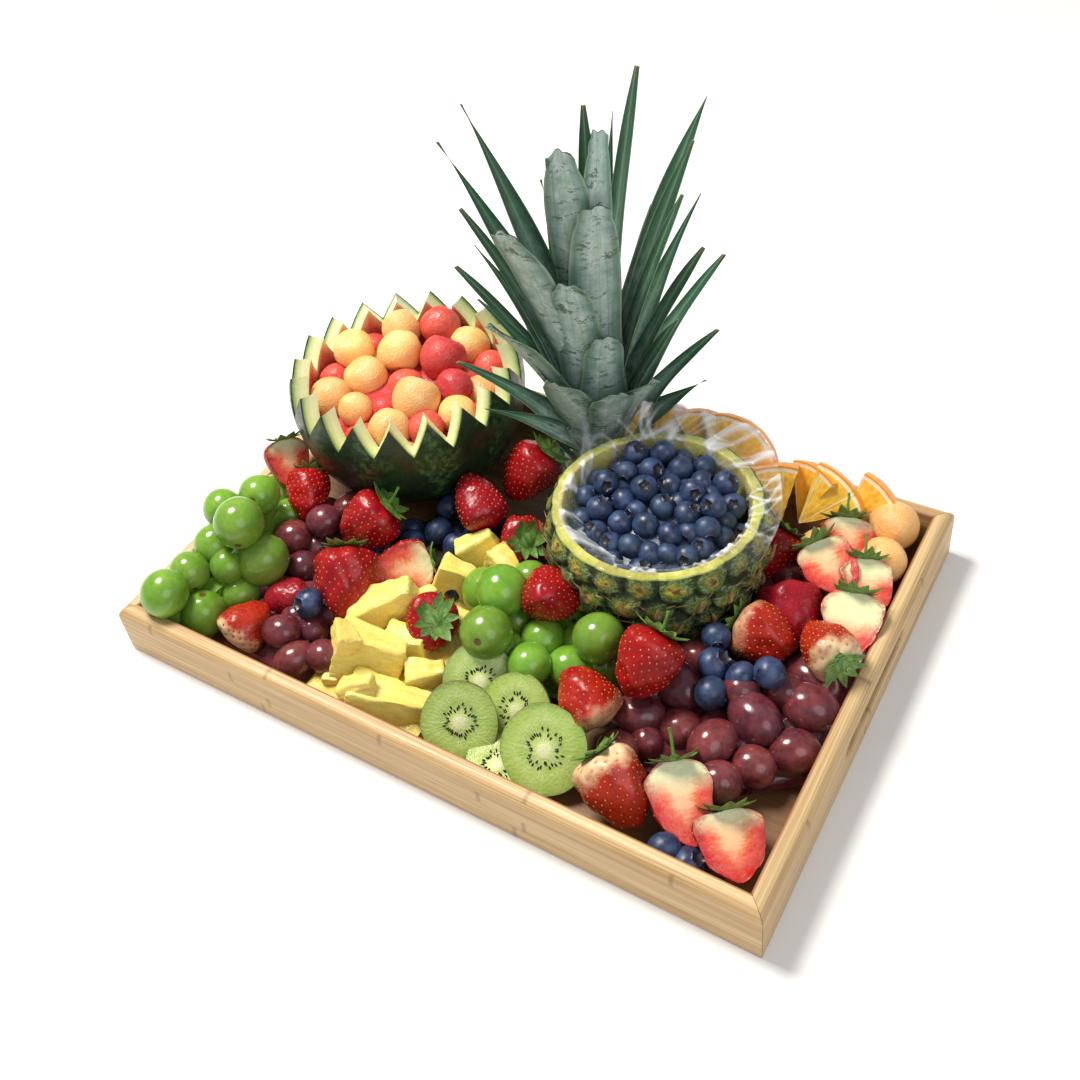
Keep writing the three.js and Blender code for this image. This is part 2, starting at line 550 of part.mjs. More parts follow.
const RED_RIGHT = [
  [110.9, -35.4, 26.5, 12, 1.3, -30], [98.8, -57.5, 19.2, 11.4, 1.3, 20],
  [98.1, -79.6, 16.5, 10.6, 1.1, 0], [154.2, -39.1, 28.9, 12.4, 1.3, -30],
  [141.2, -60.4, 26.7, 11, 1.3, 70], [151.8, -76.5, 22, 10.8, 1.1, 20],
  [176.2, -20.5, 28.7, 12.2, 1.2, 10], [156.4, -18.2, 18.7, 10.4, 1.1, 0],
  [168.6, 1.8, 20.5, 11.5, 1.4, -20], [121.5, -54.6, 17.8, 11, 1.1, 0],
  [162.4, -59.3, 19.9, 10.6, 1.1, 0], [177.3, -43.7, 22.2, 11.2, 1.2, 30],
  [111.1, -12.8, 21.6, 10.6, 1.1, 0], [130.6, 19, 17, 11, 1.1, 0], [176.6, 24.8, 18.1, 11.5, 1.2, 80],
  [160.6, 37.8, 15.4, 10, 1, 0],
];
// Loose blueberries: [x, y, z, radius].
const BERRIES_MIDDLE = [
  [-90.5, -27.4, 21.8, 8.2], [-79.5, -6.4, 19.9, 8.4], [-71.8, 23.9, 25.8, 8.4], [-67.4, 4.3, 24.8, 9],
  [-48.2, 14.6, 18.7, 8.4], [-52, -0.2, 23.2, 8.4], [-47, -12.8, 16.1, 8.2], [-38.6, -25.2, 18, 8.2],
  [-46, 32, 20, 8], [-62.8, 15.7, 13.8, 8.4], [-88.9, 5.1, 15.2, 8.4], [-62, 36, 15, 8],
  [-70.7, -17.7, 14.9, 8], [-98.2, -15.7, 15.8, 8.2],
];
const BERRIES_RIGHT = [
  [119.4, -7.4, 38.7, 8], [125, -21.9, 35.6, 9.2], [154.5, -20.8, 44.4, 8.6], [141, -24.6, 37, 8.6],
  [130.4, -38.9, 35.1, 9],
];
const BERRIES_FRONT = [[143, -119, 18, 8.4], [155.5, -119, 15, 8.4]];
const BERRIES_LEFT = [[-100.5, -80.8, 31, 8.8]];
// Pineapple chunks: middle, length, width, height, and turns about X, Y and Z in degrees.
const CHUNKS = [
  [[-60, -61, 30], [40, 24, 20], [12, -18, 35]], [[-49, -92, 26], [38, 28, 26], [-28, 8, 28]],
  [[-38, -73, 19], [24, 18, 22], [0, 0, 10]], [[-17, -86, 17], [22, 18, 20], [0, 6, 36]],
  [[-24, -110, 19], [46, 24, 20], [-16, 10, 24]], [[-70, -80, 17], [20, 16, 20], [0, 0, 50]],
  [[-35, 2, 24], [24, 15, 26], [10, -20, 40]], [[-35, -24, 24], [26, 15, 26], [-12, 20, 20]],
  [[-16, -3, 22], [22, 16, 24], [0, 14, -20]], [[-60, -102, 12], [24, 20, 13], [0, 0, 15]],
];

function grape([x, y, z, radius, stretch = 1.04, turn = 30], grow) {
  const size = radius * FACETED + grow;
  const long = radius * FACETED * stretch + grow;
  const matrix = new THREE.Matrix4().makeRotationZ(THREE.MathUtils.degToRad(turn));
  matrix.scale(new THREE.Vector3(long, size, size)).setPosition(x, y, z);
  return solid(new THREE.IcosahedronGeometry(1, 0), matrix);
}

function looseBerry([x, y, z, radius], grow) {
  const matrix = new THREE.Matrix4().makeRotationX(x).setPosition(x, y, z);
  return solid(new THREE.IcosahedronGeometry(radius * FACETED + grow, 0), matrix);
}

// A chunk is a box with one end narrower, as it comes off the ring.
function chunk([at, size, turns], grow) {
  const box = new THREE.BoxGeometry(size[0] + 2 * grow, size[1] + 2 * grow, size[2] + 2 * grow);
  moveVertices(box, (p) => {
    const narrow = p.x > 0 ? 0.55 : 1;
    p.y *= narrow;
    p.z *= p.x > 0 ? 0.85 : 1;
  });
  const turn = new THREE.Euler(...turns.map(THREE.MathUtils.degToRad));
  const matrix = new THREE.Matrix4().makeRotationFromEuler(turn).setPosition(...at);
  return solid(box, matrix);
}

// The core: a low mound over a footprint, its top drawn in from its foot.
function mound({ foot, base = FLOOR_TOP, top }, grow) {
  const middle = foot.reduce((sum, [x, y]) => sum.add(new THREE.Vector2(x, y)), new THREE.Vector2());
  middle.divideScalar(foot.length);
  const points = [];
  foot.forEach(([x, y]) => {
    const out = new THREE.Vector2(x, y).sub(middle);
    const wide = out.clone().setLength(out.length() + grow).add(middle);
    const high = out.clone().multiplyScalar(0.78).add(middle);
    points.push(new THREE.Vector3(wide.x, wide.y, base - grow));
    points.push(new THREE.Vector3(wide.x, wide.y, base + 6 + grow));
    points.push(new THREE.Vector3(high.x, high.y, top + grow));
  });
  return solid(new ConvexGeometry(points));
}

const HEAPS = [
  {
    name: 'green_grapes_left', colour: 'greenGrape', roughness: 0.3, piece: grape, fruit: GREEN_LEFT,
    cores: [
      { foot: [[-188, -127], [-154, -127], [-146, -70], [-162, -4], [-188, -4]], top: 35 },
      { foot: [[-188, -94], [-150, -90], [-142, -62], [-165, -26], [-188, -30]], base: 24, top: 50 },
    ],
  },
  {
    name: 'green_grapes_middle', colour: 'greenGrape', roughness: 0.3, piece: grape, fruit: GREEN_MIDDLE,
    cores: [
      { foot: [[-12, -52], [30, -64], [76, -60], [78, -28], [20, -12], [0, 4], [-18, -20]], top: 26 },
      { foot: [[-6, -38], [4, -66], [18, -58], [14, -22]], base: 18, top: 35 },
    ],
  },
  {
    name: 'red_grapes_left', colour: 'redGrape', roughness: 0.35, piece: grape, fruit: RED_LEFT,
    cores: [{ foot: [[-144, -116], [-84, -116], [-84, -44], [-118, 4], [-158, 4], [-138, -60]], top: 20 }],
  },
  {
    name: 'blueberries_right', colour: 'blueberry', roughness: 0.6, piece: looseBerry, fruit: BERRIES_RIGHT,
    cores: [{ foot: [[120, -36], [146, -32], [152, -16], [122, -8]], base: 26, top: 35 }],
  },
  {
    name: 'red_grapes_right', colour: 'redGrape', roughness: 0.35, piece: grape, fruit: RED_RIGHT,
    cores: [{ foot: [[84, -80], [150, -80], [188, -50], [188, 104], [112, 112], [96, -50]], top: 22 }],
  },
  {
    name: 'pineapple_chunks', colour: 'pineFlesh', roughness: 0.45, piece: chunk, fruit: CHUNKS,
    cores: [{ foot: [[-80, -120], [-2, -120], [-2, -72], [-42, 8], [-54, -20], [-80, -60]], top: 16 }],
  },
  {
    name: 'blueberries_middle', colour: 'blueberry', roughness: 0.6, piece: looseBerry, fruit: BERRIES_MIDDLE,
    cores: [{ foot: [[-108, -26], [-84, -36], [-38, -28], [-38, 38], [-66, 44], [-96, 10]], top: 19 }],
  },
  {
    name: 'blueberries_front', colour: 'blueberry', roughness: 0.6, piece: looseBerry, fruit: BERRIES_FRONT,
    cores: [],
  },
  {
    name: 'blueberry_left', colour: 'blueberry', roughness: 0.6, piece: looseBerry, fruit: BERRIES_LEFT,
    cores: [],
  },
];

function heap({ cores, piece, fruit }, grow) {
  const bodies = [...cores.map((core) => mound(core, grow)), ...fruit.map((spec) => piece(spec, grow))];
  return join(bodies);
}

// ---------------------------------------------------------------- putting it together
// Every piece of fruit: how it is made, where it stands and its colour, in the order in which
// they push into each other: a later piece is cut back to leave room for the earlier ones.
function fruitPieces() {
  const at = (x, y, z = 0) => new THREE.Matrix4().makeTranslation(x, y, z);
  const round = (name, make, place, colour, roughness) => ({ name, make, place, colour, roughness });
  const pieces = [
    round('watermelon_bowl', melonBowl, at(MELON.x, MELON.y), 'melonRind', 0.4),
    round('pineapple_bowl', pineBowl, at(PINE.x, PINE.y), 'pineSkin', 0.7),
    round('bowl_film', filmLiner, at(PINE.x, PINE.y), 'film', 0.1),
    round('bowl_blueberries', bowlBerries, at(PINE.x, PINE.y), 'blueberry', 0.6),
    round('melon_balls', melonHeap, at(MELON.x, MELON.y), 'melonBall', 0.4),
    round('pineapple_crown', crown, at(CROWN.x, CROWN.y), 'crownLeaf', 0.6),
  ];
  STRAWBERRIES.forEach((spec) => {
    const make = (grow) => strawberry(spec, grow);
    pieces.push(round(`strawberry_${spec.name}`, make, strawberryPlace(spec), 'strawberry', 0.35));
  });
  KIWI.forEach((spec) => {
    const place = frame(spec.at, spec.face, [0, 0, 1]);
    pieces.push(round(spec.name, (grow) => kiwiSlice(spec, grow), place, 'kiwi', 0.4));
  });
  ORANGES.forEach((spec) => {
    const make = (grow) => orangeWedge(spec, grow);
    pieces.push(round(`orange_${spec.name}`, make, orangePlace(spec), 'orange', 0.45));
  });
  CANTALOUPE.forEach((spec, i) => {
    const make = (grow) => melonBall(spec, grow);
    pieces.push(round(`cantaloupe_ball_${i + 1}`, make, at(...spec), 'cantaloupe', 0.45));
  });
  HEAPS.forEach((spec) => {
    pieces.push(round(spec.name, (grow) => heap(spec, grow), at(0, 0), spec.colour, spec.roughness));
  });
  return pieces;
}

function apart(a, b) {
  return [0, 1, 2].some((i) => a.max[i] + GAP < b.min[i] || b.max[i] + GAP < a.min[i]);
}

function inWorld(body, matrix) {
  return body.transform(matrix.elements);
}

function surface(colour, roughness) {
  return new THREE.MeshStandardMaterial({ color: COLOURS[colour], roughness, metalness: 0 });
}

function addTray(platter) {
  const tray = new THREE.Group();
  const bodies = [];
  trayPieces().forEach(({ name, geometry, at, turn }) => {
    const mesh = new THREE.Mesh(geometry, surface('bamboo', 0.55));
    mesh.name = name;
    mesh.position.set(...at);
    mesh.rotation.z = THREE.MathUtils.degToRad(turn);
    mesh.updateMatrix();
    tray.add(mesh);
    bodies.push(solid(geometry, mesh.matrix));
  });
  platter.add(tray);
  return bodies;
}

// Nothing may sink into the walls or the floor: a box of the room inside them, open at the top.
function roomInTray() {
  const inside = new THREE.BoxGeometry(
    TRAY.length - 2 * (TRAY.wall + GAP),
    TRAY.width - 2 * (TRAY.wall + GAP),
    400,
  );
  inside.translate(0, 0, 200 + FLOOR_TOP);
  const above = new THREE.BoxGeometry(900, 900, 600).translate(0, 0, 300 + TRAY.height + GAP);
  return solid(inside).add(solid(above));
}

function addFruit(platter) {
  const fruit = new THREE.Group();
  const room = roomInTray();
  const done = [];
  fruitPieces().forEach(({ name, make, place, colour, roughness }) => {
    let body = inWorld(make(0), place).intersect(room);
    const box = body.boundingBox();
    done.forEach((other) => {
      if (!apart(box, other.box)) body = body.subtract(other.roomy);
    });
    body = largest(body);
    done.push({ box: body.boundingBox(), roomy: inWorld(make(GAP), place) });
    const local = place.clone().invert();
    const mesh = new THREE.Mesh(geometryOf(inWorld(body, local)), surface(colour, roughness));
    mesh.name = name;
    mesh.position.setFromMatrixPosition(place);
    mesh.quaternion.setFromRotationMatrix(place);
    fruit.add(mesh);
  });
  platter.add(fruit);
}

const platter = new THREE.Group();
platter.name = 'fruit_platter';
addTray(platter);
addFruit(platter);
platter.updateMatrixWorld(true);

export default platter;
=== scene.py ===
# %% [markdown]
# # A fruit platter, dressed piece by piece
#
# The CAD model gives every fruit its place and its plain form. This lesson puts the real
# surface on each one: rind, seeds, juice, waxy bloom and bamboo grain.
# All lengths below are in millimetres, and one factor turns them into Blender's metres.

import math

import bpy
import numpy as np
from mathutils import Matrix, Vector
from mathutils.bvhtree import BVHTree


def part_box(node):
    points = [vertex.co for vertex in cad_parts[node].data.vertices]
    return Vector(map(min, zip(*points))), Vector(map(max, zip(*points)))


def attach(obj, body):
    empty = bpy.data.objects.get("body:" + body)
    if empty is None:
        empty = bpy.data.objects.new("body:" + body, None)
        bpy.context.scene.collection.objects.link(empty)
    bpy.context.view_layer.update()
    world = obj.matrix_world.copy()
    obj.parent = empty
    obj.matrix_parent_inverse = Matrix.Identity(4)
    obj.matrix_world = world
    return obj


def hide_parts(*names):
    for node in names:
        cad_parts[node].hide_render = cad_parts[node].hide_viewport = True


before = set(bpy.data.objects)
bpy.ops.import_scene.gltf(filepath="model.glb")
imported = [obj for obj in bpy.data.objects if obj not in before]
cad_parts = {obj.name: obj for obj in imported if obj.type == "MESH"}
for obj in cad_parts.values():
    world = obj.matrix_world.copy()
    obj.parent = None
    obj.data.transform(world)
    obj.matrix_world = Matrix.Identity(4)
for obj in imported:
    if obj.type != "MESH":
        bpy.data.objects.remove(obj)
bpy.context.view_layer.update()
MM = 0.001
TAU = 2 * math.pi
SERVED_SIDE = (0.5, -0.6, 0.6)  # the way most cut faces look
print("CAD nodes on the platter:", len(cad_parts))

# %% [markdown]
# ## A small kit for building surfaces
#
# A shape here is a list of points, faces of three or four corners, and three things painted on
# the points: `own`, the place in the fruit's own frame, `deep`, how far a point lies under the
# skin, and `tone`, one random number for each fruit. The finishes read them, so a pattern stays
# with its fruit wherever the fruit is laid.

# %% Shapes and how they are joined
class Shape:
    """Points in mm, faces (a triangle's fourth corner is -1), a finish for each face and paint."""

    def __init__(self, points, faces, finish=0, deep=0.0, tone=0.5, own=None):
        self.points = np.asarray(points, float)
        self.faces = np.asarray(faces, int)
        self.finish = np.broadcast_to(finish, len(self.faces)).astype(int)
        self.deep = np.broadcast_to(deep, len(self.points)).astype(float)
        self.tone = np.broadcast_to(tone, len(self.points)).astype(float)
        self.own = self.points.copy() if own is None else np.asarray(own, float)


def join(shapes):
    """Several shapes as one."""
    starts = np.cumsum([0] + [len(s.points) for s in shapes[:-1]])
    faces = [np.where(s.faces < 0, -1, s.faces + n) for s, n in zip(shapes, starts)]
    glued = Shape(np.concatenate([s.points for s in shapes]), np.concatenate(faces))
    for part in ("finish", "deep", "tone", "own"):
        setattr(glued, part, np.concatenate([getattr(s, part) for s in shapes]))
    return glued


def in_scene(name, data):
    """A new object for a mesh, a lamp or a camera."""
    thing = bpy.data.objects.new(name, data)
    bpy.context.scene.collection.objects.link(thing)
    return thing


def laid(shape, matrix, tone=None, finish=None):
    """The shape moved by a 4 x 4 matrix; its own places stay as they were."""
    points = shape.points @ matrix[:3, :3].T + matrix[:3, 3]
    moved = Shape(points, shape.faces, shape.finish, shape.deep, shape.tone, shape.own)
    if tone is not None:
        moved.tone[:] = tone
    if finish is not None:
        moved.finish[:] = finish
    return moved


print("shapes can be made, joined and laid")

# %% [markdown]
# A frame is a place and three directions. Every fruit is modelled at its own middle and then
# laid on the platter with one.

# %% Places and directions
def unit(v):
    v = np.asarray(v, float)
    return v / np.linalg.norm(v)


def frame_at(origin, axis, side):
    """A frame whose Z looks along `axis` and whose X leans towards `side`."""
    z = unit(axis)
    x = unit(np.asarray(side, float) - np.dot(side, z) * z)
    matrix = np.eye(4)
    matrix[:3, :3] = np.stack([x, np.cross(z, x), z], 1)
    matrix[:3, 3] = origin
    return matrix


def shifted(x, y, z=0.0, turn=0.0):
    """A move to (x, y, z) after a turn about Z in degrees."""
    matrix = np.array(Matrix.Rotation(math.radians(turn), 4, "Z"))
    matrix[:3, 3] = (x, y, z)
    return matrix


def tumbled(at, seed):
    """A move to `at` after a random turn."""
    way = np.random.default_rng(seed).normal(size=(2, 3))
    return frame_at(at, way[0], way[1])


print("shapes can be turned, tilted and tumbled")

# %% [markdown]
# Most fruit is round, so most shapes are made the way a potter makes them: a row of radii turned
# round an axis. What was cut with a knife starts from a block instead.

# %% Nets of faces and turned shapes
def net(rows, columns, wrap=True):
    """Faces between neighbouring points of a rows-by-columns net."""
    r = np.arange(rows - 1)[:, None]
    c = np.arange(columns if wrap else columns - 1)[None, :]
    d = (c + 1) % columns
    corners = [r * columns + c, r * columns + d, (r + 1) * columns + d, (r + 1) * columns + c]
    return np.stack(np.broadcast_arrays(*corners), -1).reshape(-1, 4)


def closed(rings, ends=None, **paint):
    """A closed shape through a stack of rings of points, with a fan of triangles at each end."""
    rings = np.asarray(rings, float)
    rows, n = rings.shape[:2]
    count = rows * n
    c = np.arange(n)
    d = (c + 1) % n
    none = np.full(n, -1)
    bottom = np.stack([np.full(n, count), d, c, none], 1)
    top = np.stack([np.full(n, count + 1), count - n + c, count - n + d, none], 1)
    low, high = (rings[0].mean(0), rings[-1].mean(0)) if ends is None else ends
    return Shape(np.vstack([rings.reshape(-1, 3), low, high]), np.vstack([net(rows, n), bottom, top]), **paint)


def rows_of(values, columns):
    """A row of numbers for each ring; a single number fills its row."""
    return np.array([np.broadcast_to(v, columns) for v in values], float)


def turned(radius, height, columns, ends=None, finish=0, deep=0.0, first=0.0):
    """A closed shape turned round Z, given row by row from its bottom pole to its top one."""
    radius, height = rows_of(radius, columns), rows_of(height, columns)
    angle = TAU * np.arange(columns) / columns + first
    rings = np.stack([radius * np.cos(angle), radius * np.sin(angle), height], -1)
    low, high = ends if ends else (height[0].mean(), height[-1].mean())
    if np.ndim(finish):
        finish = np.repeat([*finish, finish[0], finish[-1]], columns)
    if not np.isscalar(deep):
        deep = rows_of(deep, columns)
        deep = np.concatenate([deep.reshape(-1), [deep[0].mean(), deep[-1].mean()]])
    return closed(rings, ([0, 0, low], [0, 0, high]), finish=finish, deep=deep)


print("shapes can be turned")

# %% [markdown]
# A block is six nets sewn together. A ripple makes anything a little uneven, and a rod follows
# a bent path.

# %% Blocks, ripples and rods
def block(nx, ny, nz):
    """The surface of a cube from -1 to 1: its points, its faces and the side each face is on."""
    nets, sides, count = [], [], 0
    faces = []
    for axis, (na, nb) in enumerate([(ny, nz), (nz, nx), (nx, ny)]):
        for sign in (-1, 1):
            a, b = np.meshgrid(np.linspace(-1, 1, na + 1), np.linspace(-1, 1, nb + 1), indexing="ij")
            p = np.full((*a.shape, 3), float(sign))
            p[..., (axis + 1) % 3] = a
            p[..., (axis + 2) % 3] = b
            f = net(na + 1, nb + 1, wrap=False)
            faces.append((f[:, ::-1] if sign > 0 else f) + count)
            sides.append(np.full(len(f), axis * 2 + (sign > 0)))
            nets.append(p.reshape(-1, 3))
            count += a.size
    points, same = np.unique(np.round(np.concatenate(nets), 6), axis=0, return_inverse=True)
    return points, same.reshape(-1)[np.concatenate(faces)], np.concatenate(sides)


def ripple(points, size, seed, waves=7):
    """A smooth uneven value, about -1 to 1, at each point, with swells `size` mm across."""
    rng = np.random.default_rng(seed)
    way = rng.normal(size=(waves, 3))
    way *= TAU / size * rng.uniform(0.6, 1.5, (waves, 1)) / np.linalg.norm(way, axis=1)[:, None]
    return np.sin(points @ way.T + rng.uniform(0, TAU, waves)).sum(-1) / math.sqrt(waves)


def tube(path, radius, sides=6, finish=0):
    """A round rod along a path of points, with a radius at each, closed at both ends."""
    path = np.asarray(path, float)
    radius = np.broadcast_to(radius, len(path))
    along = np.gradient(path, axis=0)
    rings = []
    for point, way, r in zip(path, along, radius):
        m = frame_at(point, way, (0.31, 0.2, 0.93) if abs(unit(way)[2]) < 0.9 else (1, 0, 0))
        angle = TAU * np.arange(sides) / sides
        ring = np.stack([r * np.cos(angle), r * np.sin(angle), 0 * angle], -1)
        rings.append(ring @ m[:3, :3].T + point)
    return closed(rings, (path[0], path[-1]), finish=finish)


print("faces of a small block:", len(block(2, 2, 2)[1]))

# %% [markdown]
# A piece rides on the CAD model's one body and stands in for the nodes it covers, so that the
# dressed platter keeps the size and place of every fruit.

# %% A shape becomes a piece of the platter
made = {}


def piece(name, shape, finishes, nodes, crease=40):
    """Builds the mesh, paints it, and lets it stand for its CAD nodes."""
    mesh = bpy.data.meshes.new(name)
    corners = shape.faces[shape.faces >= 0]
    count = (shape.faces >= 0).sum(1)
    mesh.vertices.add(len(shape.points))
    mesh.vertices.foreach_set("co", (shape.points * MM).ravel())
    mesh.loops.add(len(corners))
    mesh.loops.foreach_set("vertex_index", corners)
    mesh.polygons.add(len(count))
    mesh.polygons.foreach_set("loop_start", np.concatenate([[0], np.cumsum(count)[:-1]]))
    mesh.polygons.foreach_set("material_index", shape.finish)
    mesh.update(calc_edges=True)
    for material in finishes:
        mesh.materials.append(material)
    mesh.attributes.new("own", "FLOAT_VECTOR", "POINT").data.foreach_set("vector", shape.own.ravel())
    mesh.attributes.new("deep", "FLOAT", "POINT").data.foreach_set("value", shape.deep)
    mesh.attributes.new("tone", "FLOAT", "POINT").data.foreach_set("value", shape.tone)
    mesh.validate()
    mesh.shade_smooth()
    mesh.set_sharp_from_angle(angle=math.radians(crease))
    thing = in_scene(name, mesh)
    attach(thing, "root")
    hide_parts(*nodes)
    made[name] = int((count - 2).sum())


def core_of(node, shrink, tone=0.2, finish=0, deep=6.0):
    """The hidden body of a heap: its CAD node drawn in a little, under the fruit that shows. Its low tone makes it
    darker than the fruit on show: painted shade in the gaps.
    """
    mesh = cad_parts[node].data
    co = np.zeros(len(mesh.vertices) * 3)
    mesh.vertices.foreach_get("co", co)
    co = co.reshape(-1, 3) / MM
    tris = np.array([[*p.vertices] for p in mesh.polygons])
    points, same = np.unique(np.round(co, 3), axis=0, return_inverse=True)
    tris = same.reshape(-1)[tris]
    tris = tris[(tris[:, 0] != tris[:, 1]) & (tris[:, 1] != tris[:, 2]) & (tris[:, 0] != tris[:, 2])]
    a, b, c = (points[tris[:, i]] for i in range(3))
    normal = np.cross(b - a, c - a)
    total = np.zeros_like(points)
    for i in range(3):
        np.add.at(total, tris[:, i], normal)
    total /= np.maximum(np.linalg.norm(total, axis=1), 1e-9)[:, None]
    faces = np.concatenate([tris, np.full((len(tris), 1), -1)], 1)
    return Shape(points - shrink * total, faces, finish, deep, tone)


print("pieces so far:", len(made))

# %% [markdown]
# ## Writing finishes with nodes
#
# Each finish is a small tree of nodes. A thin wrapper gives the nodes short names, so that a
# finish reads like a recipe. Effects that several fruits share, such as mottling, waxy bloom
# and wet cut flesh, are built once as node groups with named inputs and outputs.

# %% Colours from six digits
def ink(code):
    """A colour written as six hex digits, as the linear colour that shaders use."""
    parts = [int(code[i:i + 2], 16) / 255 for i in (0, 2, 4)]
    linear = [c / 12.92 if c <= 0.04045 else ((c + 0.055) / 1.055) ** 2.4 for c in parts]
    return (*linear, 1.0)


print("white is", ink("ffffff"))

# %% [markdown]
# Most steps below add one node and hand back its output, so that steps can be nested like sums.

# %% Short names for shader nodes
class Recipe:
    """One node tree and the steps used to fill it. A step takes sockets or plain values."""

    def __init__(self, tree, shader=None):
        self.tree = tree
        self.shader = shader

    def put(self, socket, value):
        if isinstance(value, bpy.types.NodeSocket):
            self.tree.links.new(value, socket)
        else:
            socket.default_value = value

    def add(self, kind, inputs=(), **settings):
        node = self.tree.nodes.new(kind)
        for name, value in settings.items():
            setattr(node, name, value)
        for key, value in dict(inputs).items():
            self.put(node.inputs[key], value)
        return node

    def paint(self, name):
        """What `piece` painted on the points: own is a place, deep and tone are numbers."""
        node = self.add("ShaderNodeAttribute", attribute_name=name)
        return node.outputs["Vector" if name == "own" else "Fac"]

    def sums(self, operation, a, b=0.0, clamp=False):
        return self.add("ShaderNodeMath", {0: a, 1: b}, operation=operation, use_clamp=clamp).outputs[0]

    def plus(self, a, b, clamp=False):
        return self.sums("ADD", a, b, clamp)

    def minus(self, a, b):
        return self.sums("SUBTRACT", a, b)

    def times(self, a, b, clamp=False):
        return self.sums("MULTIPLY", a, b, clamp)

    def over(self, a, b):
        return self.sums("DIVIDE", a, b)

    def fit(self, value, low, high, to_low=0.0, to_high=1.0):
        """The value's run from low to high, as a run from to_low to to_high."""
        ends = {"Value": value, "From Min": low, "From Max": high, "To Min": to_low, "To Max": to_high}
        return self.add("ShaderNodeMapRange", ends).outputs["Result"]

    def mix(self, amount, a, b):
        return self.add("ShaderNodeMix", {0: amount, 6: a, 7: b}, data_type="RGBA").outputs[2]

    def stretch(self, place, by):
        return self.add("ShaderNodeVectorMath", {0: place, 1: by}, operation="MULTIPLY").outputs[0]

    def noise(self, place, size, detail=3.0, rough=0.5):
        """Cloudy noise from 0 to 1 with patches `size` mm across."""
        scale = self.over(1.0, size)
        inputs = {"Vector": place, "Scale": scale, "Detail": detail, "Roughness": rough}
        return self.add("ShaderNodeTexNoise", inputs).outputs["Fac"]

    def cells(self, place, size):
        """Distance from the nearest of many scattered points about `size` mm apart."""
        scale = self.over(1.0, size)
        return self.add("ShaderNodeTexVoronoi", {"Vector": place, "Scale": scale}).outputs["Distance"]

    def ramp(self, value, *stops):
        """A run of colours: each stop is (place from 0 to 1, colour)."""
        node = self.add("ShaderNodeValToRGB", {0: value})
        steps = node.color_ramp.elements
        while len(steps) < len(stops):
            steps.new(1.0)
        for step, (place, colour) in zip(steps, stops):
            step.position = place
            step.color = colour
        return node.outputs["Color"]

    def group(self, tree, inputs):
        return self.add("ShaderNodeGroup", inputs, node_tree=tree).outputs

    def split(self, place):
        return self.add("ShaderNodeSeparateXYZ", {0: place}).outputs

    def colour(self, value):
        self.put(self.shader["Base Color"], value)

    def roughness(self, value):
        self.put(self.shader["Roughness"], value)

    def relief(self, height, strength, distance):
        """Small bumps: the height counts `distance` mm to one."""
        bumps = self.add("ShaderNodeBump", {"Height": height, "Strength": strength, "Distance": distance * MM})
        self.put(self.shader["Normal"], bumps.outputs["Normal"])


print("a recipe's steps:", [step for step in vars(Recipe) if not step.startswith("_")])

# %% [markdown]
# A group of nodes starts empty, with named sockets. A finish starts from Blender's all-round
# shader, which most real surfaces can be described with.

# %% New groups and new finishes
def shared(name, inputs, outputs):
    """An empty node group with its named sockets."""
    tree = bpy.data.node_groups.new(name, "ShaderNodeTree")
    for label, kind, value in inputs:
        socket = tree.interface.new_socket(name=label, in_out="INPUT", socket_type="NodeSocket" + kind)
        if value is not None:
            socket.default_value = value
    for label, kind in outputs:
        tree.interface.new_socket(name=label, in_out="OUTPUT", socket_type="NodeSocket" + kind)
    recipe = Recipe(tree)
    return recipe, recipe.add("NodeGroupInput").outputs, recipe.add("NodeGroupOutput").inputs


def finish(name, roughness=0.5, **fixed):
    """A new material and its recipe. `fixed` names the shader's sockets that stay plain numbers."""
    material = bpy.data.materials.new(name)
    material.use_nodes = True
    shader = material.node_tree.nodes["Principled BSDF"]
    shader.inputs["Roughness"].default_value = roughness
    for label, value in fixed.items():
        shader.inputs[label.replace("_", " ")].default_value = value
    return material, Recipe(material.node_tree, shader.inputs)


print("groups and finishes can be started")

# %% [markdown]
# No fruit has one even colour. Patches of a second colour lie over the first, and each fruit
# is a little lighter or darker than the next.

# %% Shared effect: mottling
recipe, given, result = shared(
    "Fruit mottle",
    [("Place", "Vector", None), ("Patch size", "Float", 8.0), ("Colour", "Color", None),
     ("Patch colour", "Color", None), ("Amount", "Float", 0.6), ("Tone", "Float", 0.5)],
    [("Colour", "Color")],
)
broad = recipe.noise(given["Place"], given["Patch size"], 4.0)
fine = recipe.noise(given["Place"], recipe.times(given["Patch size"], 0.21), 3.0)
blotch = recipe.plus(recipe.times(broad, 0.75), recipe.times(fine, 0.35))
mask = recipe.fit(blotch, 0.42, 0.72, 0.0, given["Amount"])
patched = recipe.mix(mask, given["Colour"], given["Patch colour"])
darker = recipe.fit(given["Tone"], 0.0, 1.0, 0.82, 1.16)
hue = recipe.fit(given["Tone"], 0.0, 1.0, 0.492, 0.508)
shade = recipe.add("ShaderNodeHueSaturation", {"Color": patched, "Value": darker, "Hue": hue})
recipe.put(result["Colour"], shade.outputs["Color"])
MOTTLE = recipe.tree


def mottled(r, own, size, colour, patch, amount):
    """The colour with patches of another, and lighter or darker by the fruit's tone."""
    return r.group(MOTTLE, {"Place": own, "Patch size": size, "Colour": colour, "Patch colour": patch,
                            "Amount": amount, "Tone": r.paint("tone")})["Colour"]


print("built", MOTTLE.name)

# %% [markdown]
# Grapes, blueberries and crown leaves wear a pale wax. It clouds the colour and dulls the
# shine, except where a hand or a neighbour has rubbed it off.

